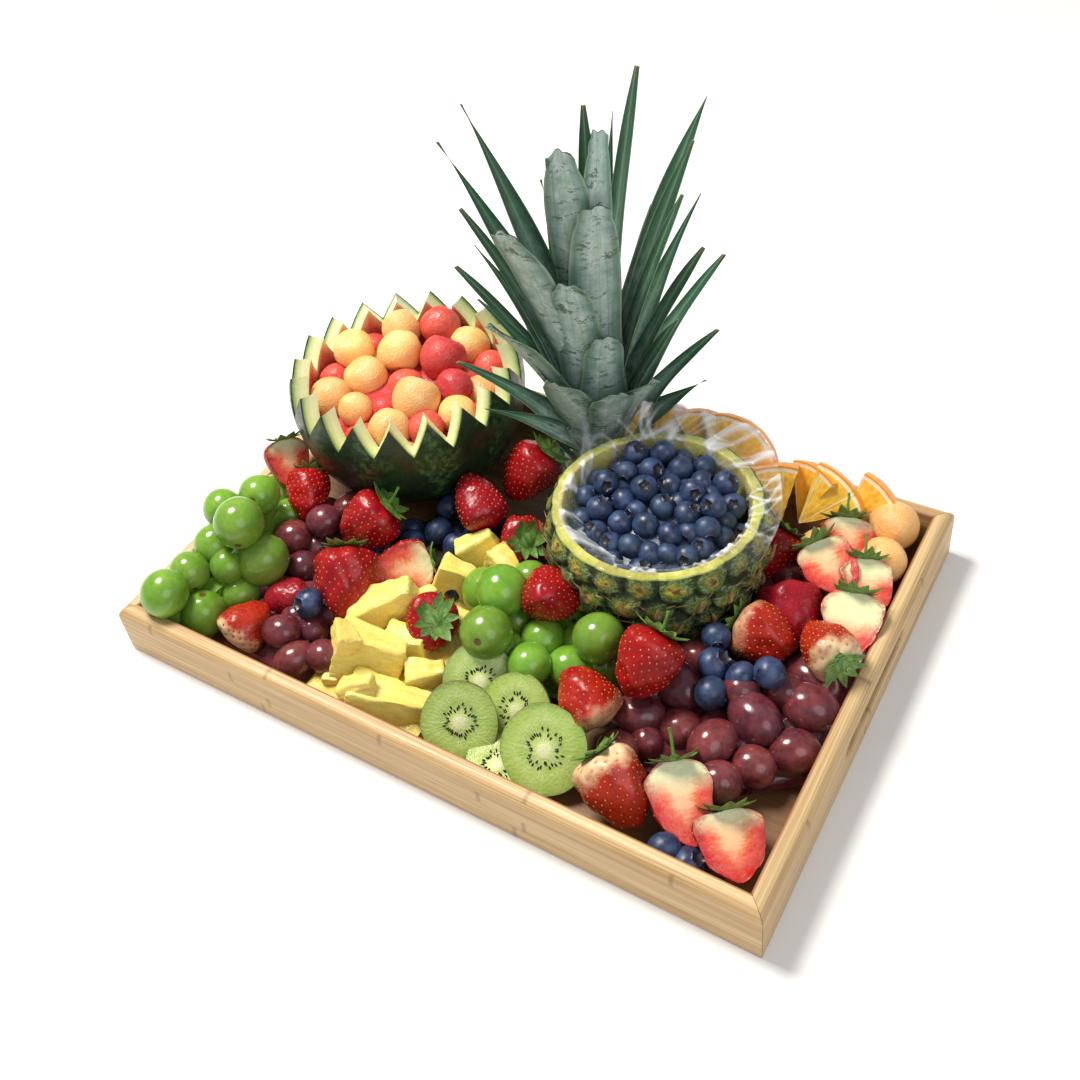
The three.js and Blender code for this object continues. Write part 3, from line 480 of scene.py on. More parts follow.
# %% Shared effect: waxy bloom
recipe, given, result = shared(
    "Waxy bloom",
    [("Place", "Vector", None), ("Colour", "Color", None), ("Bloom colour", "Color", None),
     ("Amount", "Float", 0.6), ("Bare roughness", "Float", 0.25)],
    [("Colour", "Color"), ("Roughness", "Float")],
)
cloud = recipe.noise(given["Place"], 7.0, 3.0)
rubbed = recipe.noise(given["Place"], 1.6, 4.0, 0.65)
cover = recipe.plus(recipe.times(cloud, 0.9), recipe.times(rubbed, 0.35))
cover = recipe.fit(cover, 0.42, 0.78, 0.0, given["Amount"])
recipe.put(result["Colour"], recipe.mix(cover, given["Colour"], given["Bloom colour"]))
recipe.put(result["Roughness"], recipe.plus(given["Bare roughness"], recipe.times(cover, 0.45)))
BLOOM = recipe.tree


def bloomed(r, own, colour, bloom, amount, bare):
    return r.group(BLOOM, {"Place": own, "Colour": colour, "Bloom colour": bloom, "Amount": amount,
                           "Bare roughness": bare})


print("built", BLOOM.name)

# %% [markdown]
# A knife opens juicy cells. They show as a fine pale grain, and the juice lies in patches that
# shine while the rest has begun to dry.

# %% Shared effect: wet cut flesh
recipe, given, result = shared(
    "Cut flesh",
    [("Place", "Vector", None), ("Colour", "Color", None), ("Pale colour", "Color", None),
     ("Grain", "Float", 1.2)],
    [("Colour", "Color"), ("Roughness", "Float"), ("Height", "Float")],
)
grain = recipe.cells(given["Place"], given["Grain"])
cloudy = recipe.noise(given["Place"], 9.0, 3.0)
pale = recipe.plus(recipe.times(grain, 0.35), recipe.fit(cloudy, 0.35, 0.75, -0.2, 0.35), True)
recipe.put(result["Colour"], recipe.mix(pale, given["Colour"], given["Pale colour"]))
juice = recipe.noise(given["Place"], 3.0, 2.0)
recipe.put(result["Roughness"], recipe.fit(juice, 0.4, 0.62, 0.16, 0.5))
recipe.put(result["Height"], recipe.plus(grain, recipe.times(cloudy, 1.2)))
FLESH = recipe.tree


def wet_flesh(r, own, colour, pale, grain):
    return r.group(FLESH, {"Place": own, "Colour": colour, "Pale colour": pale, "Grain": grain})


print("built", FLESH.name)

# %% [markdown]
# Bamboo, leaves and pineapple are all fibrous. One noise pattern, drawn out along the fibres,
# serves all three.

# %% Shared effect: streaks that run along a piece
recipe, given, result = shared(
    "Streaks",
    [("Place", "Vector", None), ("Width", "Float", 0.6), ("Length", "Float", 40.0)],
    [("Value", "Float")],
)
slow = recipe.over(given["Width"], given["Length"])
narrow = recipe.add("ShaderNodeCombineXYZ", {0: slow, 1: 1.0, 2: 1.0})
squeezed = recipe.stretch(given["Place"], narrow.outputs[0])
wide = recipe.noise(squeezed, recipe.times(given["Width"], 4.0), 2.0)
thin = recipe.noise(squeezed, given["Width"], 3.0, 0.6)
streaky = recipe.plus(recipe.times(wide, 0.45), recipe.times(thin, 0.55))
recipe.put(result["Value"], streaky)
STREAKS = recipe.tree


def streaks(r, place, width, length):
    """Noise from 0 to 1, drawn out along the place's X."""
    return r.group(STREAKS, {"Place": place, "Width": width, "Length": length})["Value"]


print("built", STREAKS.name)

# %% [markdown]
# ## The bamboo tray
#
# The tray is glued up from bamboo strips. Each strip shows long fibres and, here and there, a
# dark node where the cane had a joint. The boards are swept from one rounded section and meet
# in mitres; the hand holes are cut with softened edges, as a router leaves them.

# %% Finish: bamboo strips
def bamboo(name, light, dark, strip, node_every):
    material, r = finish(name, 0.5)
    own = r.paint("own")
    x, y, z = r.split(own)
    across = r.over(r.plus(y, z), strip)
    row = r.sums("FLOOR", across)
    chance = r.add("ShaderNodeTexWhiteNoise", {"W": row}, noise_dimensions="1D").outputs["Value"]
    streak = streaks(r, own, 0.7, 60.0)
    colour = r.mix(r.fit(streak, 0.38, 0.66), ink(light), ink(dark))
    colour = r.mix(r.times(chance, 0.3), colour, ink("b98d58"))
    along = r.plus(r.over(x, node_every), r.times(chance, 7.0))
    off_node = r.sums("ABSOLUTE", r.minus(r.sums("FRACT", along), 0.5))
    node_line = r.fit(r.times(off_node, node_every), 0.4, 2.0, 0.42, 0.0)
    colour = r.mix(node_line, colour, ink("6e4526"))
    off_seam = r.sums("ABSOLUTE", r.minus(r.sums("FRACT", across), 0.5))
    seam = r.fit(off_seam, 0.465, 0.5, 0.0, 0.45)
    colour = r.mix(seam, colour, ink("8a6238"))
    edge = r.times(r.fit(y, 8.0, 9.2), r.fit(z, 29.5, 32.5))
    colour = r.mix(r.times(edge, 0.75), colour, ink("8c5233"))
    r.colour(colour)
    r.roughness(r.fit(streak, 0.3, 0.7, 0.36, 0.6))
    height = r.minus(streak, r.times(seam, 0.8))
    r.relief(height, 0.35, 0.3)
    return material


bamboo_board = bamboo("bamboo_board", "d8bc8a", "ab875a", 8.5, 165.0)
# the floor's darker colours are painted shade under the fruit
shaded_bamboo_floor = bamboo("shaded_bamboo_floor", "74502f", "553722", 19.0, 140.0)
print("finishes:", bamboo_board.name, shaded_bamboo_floor.name)

# %% [markdown]
# A joiner planes one long moulding, rounded on its outer top edge, and saws it at 45 degrees.
# Here the section is swept between two mitres in the same way.

# %% One board
TRAY = {"length": 400, "width": 276, "height": 34, "wall": 10, "floor": 5, "outer": 6, "inner": 2}
SLOT = {"length": 86, "height": 14, "middle_y": 9, "middle_z": 20}
GAP = 0.35  # air between pieces that rest on each other
FLOOR_TOP = TRAY["floor"] + GAP


def board_section():
    """(inset, height) points round the board's section, with its outer top edge well rounded."""
    wall, top, big, small = TRAY["wall"], TRAY["height"], TRAY["outer"], TRAY["inner"]
    points = [(0.4, 0), (wall - 0.4, 0), (wall, 0.4)]
    for a in np.radians(np.linspace(0, 90, 7)):
        points.append((wall - small + small * math.cos(a), top - small + small * math.sin(a)))
    for a in np.radians(np.linspace(90, 180, 13)):
        points.append((big + big * math.cos(a), top - big + big * math.sin(a)))
    points.append((0, 0.4))
    return np.array(points)


def board(length):
    """One wall along X, its outer face at Y = 0, with mitred ends."""
    section = board_section()
    rings = []
    for side in (-1, 1):
        end = length / 2 - section[:, 0] - GAP / 2
        rings.append(np.stack([side * end, section[:, 0], section[:, 1]], 1))
    return closed(rings)


print("points round a board's section:", len(board_section()))

# %% [markdown]
# A router cuts each hand hole and then breaks its edges. One solid that widens at both faces
# does both at once.

# %% The hand holes
def slot_cutter(middle):
    """The hand hole as a solid to cut with: it widens at both faces, which softens the edges."""
    half = (SLOT["length"] - SLOT["height"]) / 2
    radius = SLOT["height"] / 2
    rings = []
    for depth, wider in [(-2, 3), (0, 1.1), (0.5, 0.35), (1.3, 0), (8.7, 0), (9.5, 0.35), (10, 1.1), (12, 3)]:
        a = np.radians(np.linspace(0, 360, 48, endpoint=False) + 3.75)
        x = np.where(np.cos(a) > 0, half, -half) + (radius + wider) * np.cos(a)
        z = (radius + wider) * np.sin(a)
        rings.append(np.stack([x + middle, 0 * x + depth, z + SLOT["middle_z"]], 1))
    cutter = closed(rings)
    cutter.faces[:, [1, 3]] = cutter.faces[:, [3, 1]]  # its rings run the other way round
    return cutter


def cut_away(shape, cutter):
    """The shape with the cutter taken out of it, worked out by Blender's boolean."""
    things = []
    for part in (shape, cutter):
        mesh = bpy.data.meshes.new("cutting")
        mesh.from_pydata(part.points.tolist(), [], [[i for i in f if i >= 0] for f in part.faces.tolist()])
        things.append(in_scene("cutting", mesh))
    hole = things[0].modifiers.new("hole", "BOOLEAN")
    hole.object = things[1]
    hole.solver = "EXACT"
    result = things[0].evaluated_get(bpy.context.evaluated_depsgraph_get()).to_mesh()
    result.calc_loop_triangles()
    points = np.array([v.co[:] for v in result.vertices])
    faces = np.array([[*t.vertices, -1] for t in result.loop_triangles])
    for thing in things:
        bpy.data.objects.remove(thing)
    return Shape(points, faces)


print("hand hole:", SLOT["length"], "x", SLOT["height"], "mm")

# %% [markdown]
# Four boards meet round a floor of wider strips. The floor is painted darker than the boards: painted shade under the
# fruit.

# %% The tray put together
half_length, half_width = TRAY["length"] / 2, TRAY["width"] / 2
long_board = board(TRAY["length"])
right_board = cut_away(board(TRAY["width"]), slot_cutter(SLOT["middle_y"]))
left_board = cut_away(board(TRAY["width"]), slot_cutter(-SLOT["middle_y"]))
for node, shape, matrix in [
    ("tray_front", long_board, shifted(0, -half_width)),
    ("tray_back", long_board, shifted(0, half_width, turn=180)),
    ("tray_right", right_board, shifted(half_length, 0, turn=90)),
    ("tray_left", left_board, shifted(-half_length, 0, turn=-90)),
]:
    shape.own = shape.points + [37 * len(made), 0, 0]
    piece("board_" + node, laid(shape, matrix), [bamboo_board], [node], 35)

room = TRAY["wall"] + GAP
points, faces, _ = block(40, 26, 2)
points = points * [half_length - room, half_width - room, TRAY["floor"] / 2] + [0, 0, TRAY["floor"] / 2]
piece("tray_bottom", Shape(points, faces, own=points * [1, 1, 0]), [shaded_bamboo_floor], ["tray_floor"])
print("tray boards:", made)

# %% [markdown]
# ## The watermelon bowl
#
# A watermelon cut in two with a zigzag line and hollowed. Three things show: the thin mottled
# skin, the pale rind, and the red flesh that begins towards the inside. All three are one
# surface here: each point knows how deep it lies under the skin, and a run of colours reads it.

# %% Finishes: watermelon skin and rind
watermelon_skin, r = finish("watermelon_skin", 0.34)
own = r.paint("own")
x, y = r.split(own)[:2]
wander = r.noise(own, 16.0, 3.0)
turn = r.plus(r.sums("ARCTAN2", y, x), r.times(wander, 0.55))
stripe = r.fit(r.sums("SINE", r.times(turn, 11.0)), -0.1, 0.9, 0.0, 1.0)
patched = mottled(r, own, 7.0, ink("0d1d11"), ink("223f24"), 0.7)
flecks = r.fit(r.noise(own, 4.0, 6.0, 0.7), 0.46, 0.62)
green = r.mix(r.times(stripe, flecks), patched, ink("466b36"))
r.colour(green)
r.roughness(r.fit(r.noise(own, 3.0), 0.35, 0.65, 0.28, 0.45))
r.relief(r.noise(own, 12.0, 3.0), 0.25, 2.0)

watermelon_flesh, r = finish("watermelon_flesh", 0.35, Subsurface_Weight=0.08, Subsurface_Scale=0.004)
own = r.paint("own")
uneven = r.times(r.minus(r.noise(own, 8.0, 3.0), 0.5), 3.2)
depth = r.plus(r.paint("deep"), r.times(uneven, r.fit(r.paint("deep"), 1.5, 6.0)))
layers = r.ramp(r.over(depth, 12.0), (0.0, ink("2b4423")), (0.05, ink("7d9a4c")), (0.1, ink("c2d08c")),
                (0.2, ink("e3e5b2")), (0.4, ink("dfdca4")), (0.6, ink("e3a77c")), (0.8, ink("d8714f")),
                (0.95, ink("cc5040")))
wet = wet_flesh(r, own, layers, r.mix(0.3, layers, ink("fff4e8")), 1.5)
r.colour(wet["Colour"])
r.roughness(wet["Roughness"])
r.relief(wet["Height"], 0.3, 0.35)
print("finishes:", watermelon_skin.name, watermelon_flesh.name)

# %% [markdown]
# The rind is followed as one line: up the skin, across the cut, and down inside. Turned round
# the middle with a rim that rises and falls 19 times, it gives the zigzag bowl.

# %% The watermelon shell
MELON = {"x": -123, "y": 66, "z": 74, "radius": 74, "rind": 11, "hollow_z": 33, "valley": 78, "tip": 100, "teeth": 19}
MELON_FIRST_TIP = math.radians(-175)
TOOTH_COLUMNS = 12
CUT_DEEP = 4.0  # how deep the finish takes the cut's inner edge to be


def melon_radius(z, shrink=0.0):
    return np.sqrt(np.maximum((MELON["radius"] - shrink) ** 2 - (z - MELON["z"]) ** 2, 0))


def watermelon_shell():
    columns = MELON["teeth"] * TOOTH_COLUMNS
    tooth = np.arange(columns) / TOOTH_COLUMNS
    rng = np.random.default_rng(19)
    tips = MELON["tip"] - rng.uniform(0, 3.0, MELON["teeth"])
    valleys = MELON["valley"] + rng.uniform(-1.5, 1.5, MELON["teeth"])
    nearest_tip = np.round(tooth).astype(int) % MELON["teeth"]
    height = np.abs(tooth % 1 - 0.5) * 2
    valley = valleys[np.floor(tooth).astype(int)]
    rim = valley + (tips[nearest_tip] - valley) * height
    rings = []  # height, radius, depth under the skin, finish
    for s in np.linspace(0, 1, 30):
        z = FLOOR_TOP + (rim - FLOOR_TOP) * s
        rings.append((z, melon_radius(z), 0, 0))
    outer, inner = melon_radius(rim), melon_radius(rim, MELON["rind"])
    for s in (0.09, 0.2, 0.4, 0.6, 0.8, 1.0):
        rings.append((rim - 0.5 * math.sin(math.pi * s), outer + (inner - outer) * s, CUT_DEEP * s, 1))
    for s in (0.02, 0.05, 0.09, 0.14, 0.2, 0.3, 0.45, 0.6, 0.8, 1.0):
        z = rim + (MELON["hollow_z"] - rim) * s
        rings.append((z, melon_radius(z, MELON["rind"]), CUT_DEEP + 8.6 * min(s / 0.26, 1), 1))
    rings.append((z, 0.5 * melon_radius(z, MELON["rind"]), rings[-1][2], 1))
    heights, radii, deep, faces = zip(*rings)
    shell = turned(radii, heights, columns, finish=faces[:-1], deep=deep, first=MELON_FIRST_TIP)
    lumps = ripple(shell.points, 55, 3)[:, None] * 0.5
    shell.points += lumps * (shell.points - [0, 0, MELON["z"]]) / MELON["radius"] * (shell.points[:, 2:] > 8)
    shell.own = shell.points.copy()
    return shell


piece("watermelon_shell", laid(watermelon_shell(), shifted(MELON["x"], MELON["y"])),
      [watermelon_skin, watermelon_flesh], ["watermelon_bowl"], 38)
print("watermelon shell:", made["watermelon_shell"], "triangles")

# %% [markdown]
# ## Melon balls
#
# A melon baller leaves a ball with one flat, slightly rough side where the scoop went in. Each
# ball is made from its own random number, so that no two match, and is tumbled before it is laid.

# %% Finishes: cantaloupe and red melon
def melon_flesh(name, colour, pale, grain):
    material, r = finish(name, 0.35, Subsurface_Weight=0.15, Subsurface_Scale=0.004)
    own = r.paint("own")
    wet = wet_flesh(r, own, ink(colour), ink(pale), grain)
    toned = mottled(r, own, 10.0, wet["Colour"], ink(pale), 0.3)
    r.colour(toned)
    r.roughness(r.plus(wet["Roughness"], 0.16))
    r.relief(wet["Height"], 0.55, 0.5)
    return material


cantaloupe_flesh = melon_flesh("cantaloupe_flesh", "e6a95e", "f0cc94", 1.3)
red_melon_flesh = melon_flesh("red_melon_flesh", "c02a2b", "d9655a", 1.6)
print("finishes:", cantaloupe_flesh.name, red_melon_flesh.name)

# %% [markdown]
# The balls that show are placed from the photograph. Smaller ones fill the gaps under them, and
# a hidden core stands in for the rest of the heap.

# %% One melon ball, and the heap of them
def melon_ball(radius, seed, rows=15, columns=24):
    lean = np.linspace(-82, 82, rows) * math.pi / 180
    ball = turned(radius * np.cos(lean), radius * np.sin(lean), columns, ends=(-radius, radius), deep=8.0)
    way = ball.points / radius
    ball.points *= 1 + 0.022 * ripple(way, 1.3, seed)[:, None]
    flat = radius * 0.80
    over = ball.points[:, 2] > flat
    rough = 0.25 * ripple(ball.points, 4.0, seed + 1)
    ball.points[:, 2] = np.where(over, flat + 0.12 * (ball.points[:, 2] - flat) + rough, ball.points[:, 2])
    ball.own = ball.points + 61.7 * seed
    return ball


MELON_BALLS = [
    (-44, 5, 86.5, 13.5), (-25.7, 33.9, 88.4, 13), (-12.3, 13, 88.4, 14.2), (-29.3, 11.2, 71.4, 12),
    (-24, -10.3, 80.5, 14.2), (-34.3, -34.2, 79, 13.6), (18.3, 45, 78.6, 13.6), (47.1, 14.6, 71.4, 13),
    (48, -14.7, 78.8, 12), (19, -44.9, 80.4, 13.2), (-4, 46.7, 87.4, 13.4), (17, 19.1, 88.4, 14.8),
    (22, -19.5, 85.4, 15.2), (-48.5, -11.5, 71.2, 12), (1.1, -3.1, 75.2, 12.5), (0.5, -26.2, 71.9, 12.5),
    (0.4, -50.6, 70.2, 11.5), (38.9, -34.3, 79.4, 11.5), (34.4, 2.8, 82.4, 12), (-12.1, -37.8, 80.4, 11),
    (-0.3, 27.2, 72.8, 12), (40, 36, 74, 12),
]
FIRST_RED_BALL = 10
UNDER_BALLS = [
    (-46, 27, 70, 11.5), (-22, 48, 70, 11.5), (-16, -55, 66, 10.5), (52, 2, 66, 10.5), (33, -50, 68, 10),
    (31, 22, 72, 11), (-52, 10, 66, 10), (12, 38, 70, 11), (-10, -22, 68, 11), (26, -32, 68, 11),
]
rng = np.random.default_rng(4)
balls = [core_of("melon_balls", 1.6, finish=1)]
for i, (x, y, z, radius) in enumerate(MELON_BALLS + UNDER_BALLS):
    at = (MELON["x"] + x, MELON["y"] + y, z)
    red = i >= FIRST_RED_BALL and i % 7 != 5
    balls.append(laid(melon_ball(radius, i), tumbled(at, i), rng.uniform(), int(red)))
piece("melon_ball_heap", join(balls), [cantaloupe_flesh, red_melon_flesh], ["melon_balls"], 60)

CANTALOUPE = [(173, 113, 33, 14.4), (176, 87, 31, 12.8), (140.9, 87.5, 21.5, 13.6)]
for i, (x, y, z, radius) in enumerate(CANTALOUPE):
    ball = laid(melon_ball(radius, 40 + i, 20, 32), tumbled((x, y, z), 40 + i), 0.55 + 0.1 * i)
    piece(f"cantaloupe_scoop_{i + 1}", ball, [cantaloupe_flesh], [f"cantaloupe_ball_{i + 1}"], 60)
print("melon balls:", made["melon_ball_heap"], "triangles")

# %% [markdown]
# ## The pineapple bowl
#
# A pineapple's skin is a spiral of eyes. Each eye is a dried flower: a raised knob with a green
# rim, a tan middle and one stiff pointed bract. The knobs are modelled, because they break the
# bowl's outline; colour then follows the distance from the eye's middle.

# %% Finish: pineapple skin
pineapple_skin, r = finish("pineapple_skin", 0.6)
own = r.paint("own")
ragged = r.times(r.minus(r.noise(r.stretch(own, (1.0, 1.0, 1.6)), 6.0, 5.0, 0.7), 0.52), 1.9)
from_eye = r.plus(r.paint("deep"), ragged)
# the last stop darkens the crevices between the eyes nearly to black: partly the skin's own dark brown, partly
# painted shade
rings = r.ramp(from_eye, (0.0, ink("5d4420")), (0.1, ink("a5822c")), (0.24, ink("c0a63a")), (0.35, ink("959c3c")),
               (0.48, ink("4f7230")), (0.62, ink("a9b57c")), (0.7, ink("4d6a2a")), (0.98, ink("171a0c")))
skin = mottled(r, own, 6.0, rings, ink("33401c"), 0.7)
r.colour(skin)
r.roughness(r.fit(r.noise(own, 2.0), 0.3, 0.7, 0.42, 0.75))
r.relief(r.noise(own, 2.2, 5.0, 0.65), 0.9, 2.0)
print("finish:", pineapple_skin.name)

# %% [markdown]
# The bracts are dry and papery. The flesh is fibrous, and greener close to the skin, which is
# what the bowl's cut rim shows.

# %% Finishes: bracts and flesh
pineapple_bract, r = finish("pineapple_bract", 0.7)
own = r.paint("own")
dry = mottled(r, own, 3.0, ink("8a6640"), ink("cdb68a"), 0.7)
r.colour(dry)
r.relief(r.noise(own, 1.0, 4.0), 0.5, 0.5)


def pineapple(name, full, pale, patch):
    """Pineapple flesh: fibrous along its own X, and greener within 5 mm of the skin."""
    material, r = finish(name, 0.35, Subsurface_Weight=0.12, Subsurface_Scale=0.004)
    own = r.paint("own")
    streak = streaks(r, own, 1.1, 16.0)
    flesh = r.mix(r.fit(streak, 0.34, 0.68), ink(full), ink(pale))
    flesh = r.mix(r.fit(r.paint("deep"), 0.6, 5.5, 0.85, 0.0), flesh, ink("8f9f3c"))
    wet = wet_flesh(r, own, flesh, r.mix(0.4, flesh, ink("fff2c0")), 1.8)
    toned = mottled(r, own, 8.0, wet["Colour"], ink(patch), 0.3)
    r.colour(toned)
    r.roughness(wet["Roughness"])
    relief = r.plus(r.times(streak, 2.0), r.times(wet["Height"], 0.5))
    r.relief(relief, 0.5, 0.5)
    return material


pineapple_rim_flesh = pineapple("pineapple_rim_flesh", "b9ab3a", "d4cd76", "9a943c")
pineapple_flesh = pineapple("pineapple_flesh", "eed04c", "f8e78e", "e6c04a")
print("finishes:", pineapple_rim_flesh.name, pineapple_flesh.name)

# %% [markdown]
# The eyes stand in rows, each row half a step round from the one below. A point's height above
# the crevices depends on how far it is from its nearest eye.

# %% The bowl's skin, rim and hollow
PINE = {"x": 63, "y": 40, "rim_z": 72, "rim": 60, "belly": 63, "foot": 44, "wall": 8, "hollow_z": 22}
EYES_AROUND = 20
EYE_ROWS = 5.5 + 15.2 * np.arange(5)
EYE_REACH = 10.4  # mm from an eye's middle to the crevice beside it
SKIN_ROWS = 62


def pine_radius(z):
    t = (z - FLOOR_TOP) / (PINE["rim_z"] - FLOOR_TOP)
    bulge = np.sin(math.pi * np.clip(t * 0.62 + 0.02, 0, 1))
    return PINE["foot"] + (PINE["belly"] - PINE["foot"]) * bulge ** 0.8 - 2.5 * t ** 4


def nearest_eye(angle, z):
    """Distance in mm from the nearest eye, and that eye's number."""
    best = np.full(np.broadcast(angle, z).shape, 1e9)
    number = np.zeros(best.shape, int)
    step = TAU / EYES_AROUND
    for row, eye_z in enumerate(EYE_ROWS):
        turn = angle / step - 0.5 * row
        column = np.round(turn)
        sway = 1.2 * np.sin(3.1 * column + 1.7 * row)
        away = np.hypot((turn - column) * step * PINE["belly"] + sway, (z - eye_z + 0.8 * sway) * 1.12)
        away = away * (1 + 0.14 * np.sin(1.7 * column + 4.1 * row))
        number = np.where(away < best, (column + 31 * row).astype(int), number)
        best = np.minimum(best, away)
    return best, number


print("eyes round the bowl:", EYES_AROUND, "in", len(EYE_ROWS), "rows")

# %% [markdown]
# The skin rises in knobs up to the cut rim. The surface then crosses the wall and goes down
# into the hollow that holds the berries.

# %% From the skin to the hollow
def pineapple_shell():
    columns = 400
    angle = TAU * np.arange(columns) / columns
    rings = []  # height, radius, what the finish reads as depth, finish
    for z in np.linspace(FLOOR_TOP, PINE["rim_z"], SKIN_ROWS):
        away, number = nearest_eye(angle, np.full(columns, z))
        knob = 3.4 * (1 - (away / EYE_REACH) ** 2.2) + 0.9 * np.exp(-(away / 2.2) ** 2)
        knob = np.maximum(knob, -1.1) + 0.5 * np.sin(number * 2.3)
        skin = np.stack([60 * np.cos(angle), 60 * np.sin(angle), 0 * angle + z], 1)
        knob += 0.5 * ripple(skin, 7.0, 14) + 0.25 * ripple(skin, 3.0, 15)
        knob = 1.2 + (knob - 1.2) * np.clip((PINE["rim_z"] - z) / 9, 0.22, 1)  # the cut trims the top row
        rings.append((z, pine_radius(z) - 1.9 + knob, np.clip(away / EYE_REACH, 0, 1.2), 0))
    outer = rings[-1][1]
    inner = PINE["rim"] - PINE["wall"]
    wavy = 0.35 * np.sin(angle * 23 + 1) + 0.3 * np.sin(angle * 41)
    for s in (0.04, 0.12, 0.3, 0.5, 0.7, 0.88, 1.0):
        dip = 0.7 if s in (0.04, 1.0) else 0.0
        height = PINE["rim_z"] + 0.3 - dip + wavy * s * (1 - s) * 3
        rings.append((height, outer + (inner - outer) * s, np.maximum((outer - inner) * s, 0.8), 1))
    for r_in, z_in in [(51.3, 62), (50, 50), (45, 38), (36, 29), (22, 24)]:
        rings.append((z_in, r_in + 0.4 * wavy, 9.0, 1))
    heights, radii, deep, faces = zip(*rings)
    shell = turned(radii, heights, columns, ends=(FLOOR_TOP, PINE["hollow_z"]), finish=faces[:-1], deep=deep)
    # flesh fibres run out from the middle: X of the own place is the distance from the axis
    out = np.hypot(shell.points[:, 0], shell.points[:, 1])
    turn = np.arctan2(shell.points[:, 1], shell.points[:, 0])
    radial = np.stack([out, np.cos(turn) * 45, shell.points[:, 2] + np.sin(turn) * 45], 1)
    shell.own[SKIN_ROWS * columns:] = radial[SKIN_ROWS * columns:]
    shell.tone = 0.5 + 0.5 * np.sin(1.7 * nearest_eye(turn, shell.points[:, 2])[1])
    return shell


print("rows of points up the skin:", SKIN_ROWS)

# %% [markdown]
# Each eye keeps its bract, and thinner spines stand in the crevices. They break the outline, so
# they are mesh and not only relief.

# %% The bracts
def bract(seed, thin=1.0):
    """The stiff dried scale in an eye: X runs along the bowl, Y up it and Z out of it."""
    rng = np.random.default_rng(seed)
    long, lean = rng.uniform(6, 11) * thin ** 0.3, rng.uniform(-3.5, 3.5)
    path = [(0, -1.5, -1.2), (0, 0, 0.6), (lean * 0.3, long * 0.4, 1.7),
            (lean * 0.7, long * 0.75, 2.3), (lean, long, 3.2)]
    scale = tube(path, np.array([1.9, 2.0, 1.2, 0.6, 0.12]) * thin, 6, 2)
    scale.points[:, 2] *= 0.8
    scale.own = scale.points + seed
    return scale


def bracts():
    scales = []
    for row, eye_z in enumerate(EYE_ROWS):
        for column in range(EYES_AROUND):
            sway = 1.2 * math.sin(3.1 * column + 1.7 * row)
            angle = (column + 0.5 * row) * TAU / EYES_AROUND - sway / PINE["belly"]
            z = eye_z - 0.8 * sway
            if not FLOOR_TOP + 3 < z < PINE["rim_z"] - 8:
                continue
            out = (math.cos(angle), math.sin(angle), 0)
            radius = float(pine_radius(np.array(z))) + 1.6
            matrix = frame_at((radius * out[0], radius * out[1], z), out, (-out[1], out[0], 0))
            number = row * 31 + column
            scales.append(laid(bract(number), matrix, 0.5 + 0.5 * math.sin(column * 2.1 + row)))
            places = [(-6.5, 3.5), (5.5, 5), (-3, -6), (4, -5)] if z < PINE["rim_z"] - 18 else [(-3, -7), (4, -6)]
            for spine, (along, up) in enumerate(places):
                aside = matrix @ shifted(along, up, -2.4, turn=-7 * along)
                scales.append(laid(bract(500 * (spine + 1) + number, 0.34), aside, 0.3 + 0.15 * spine))
    return scales


bowl = join([pineapple_shell(), *bracts()])
piece("pineapple_shell", laid(bowl, shifted(PINE["x"], PINE["y"])),
      [pineapple_skin, pineapple_rim_flesh, pineapple_bract], ["pineapple_bowl"], 50)
print("pineapple bowl:", made["pineapple_shell"], "triangles")

# %% [markdown]
# ## Blueberries
#
# A blueberry is a slightly flat ball with a star-shaped crown around a small crater. Its blue
# is mostly a pale waxy bloom over a nearly black skin, rubbed off where berries touch.

# %% Finish: blueberry
blueberry_skin, r = finish("blueberry_skin", 0.45)
own = r.paint("own")
waxy = bloomed(r, own, ink("0a1226"), ink("4a6996"), 0.56, 0.24)
toned = mottled(r, own, 6.0, waxy["Colour"], ink("2b2440"), 0.4)
crater = r.fit(r.paint("deep"), 0.35, 0.9)
r.colour(r.mix(crater, toned, ink("2a211f")))
r.roughness(waxy["Roughness"])
r.relief(r.noise(own, 1.2, 3.0), 0.2, 0.3)
print("finish:", blueberry_skin.name)

# %% [markdown]
# The crown is the dried end of the flower. Turning the profile up, over a small lip and down
# into a crater makes it, and five lobes round the lip make the star.

# %% One blueberry
BERRY_RADIUS = 7.6


def blueberry(radius, seed, columns=20):
    lean = np.radians(np.linspace(-78, 60, 10))
    radii = [*(radius * np.cos(lean)), 0.43 * radius, 0.41 * radius, 0.31 * radius, 0.16 * radius]
    heights = [*(radius * np.sin(lean)), 0.9 * radius, 0.99 * radius, 0.85 * radius, 0.76 * radius]
    deep = [0.0] * 10 + [0.15, 0.3, 0.9, 1.0]
    lobes = np.cos(5 * TAU * np.arange(columns) / columns + seed)
    radii[11] += 0.07 * radius * lobes
    heights[11] += 0.07 * radius * lobes
    radii[12] += 0.05 * radius * lobes
    berry = turned(radii, heights, columns, ends=(-radius, 0.75 * radius), deep=deep)
    berry.points *= 1 + 0.02 * ripple(berry.points / radius, 1.7, seed)[:, None]
    berry.points[:, 2] *= 0.9
    berry.own = berry.points + 23.3 * seed
    return berry


def berry_laid(x, y, z, radius, seed, lift=(0.3, -0.35, 0.5)):
    """A berry whose crown looks some random way, but seldom straight down."""
    rng = np.random.default_rng(seed + 900)
    way = unit(rng.normal(size=3)) + np.array(lift)
    return laid(blueberry(radius, seed), frame_at((x, y, z), way, (0.3, 0.8, 0.1)), rng.uniform())


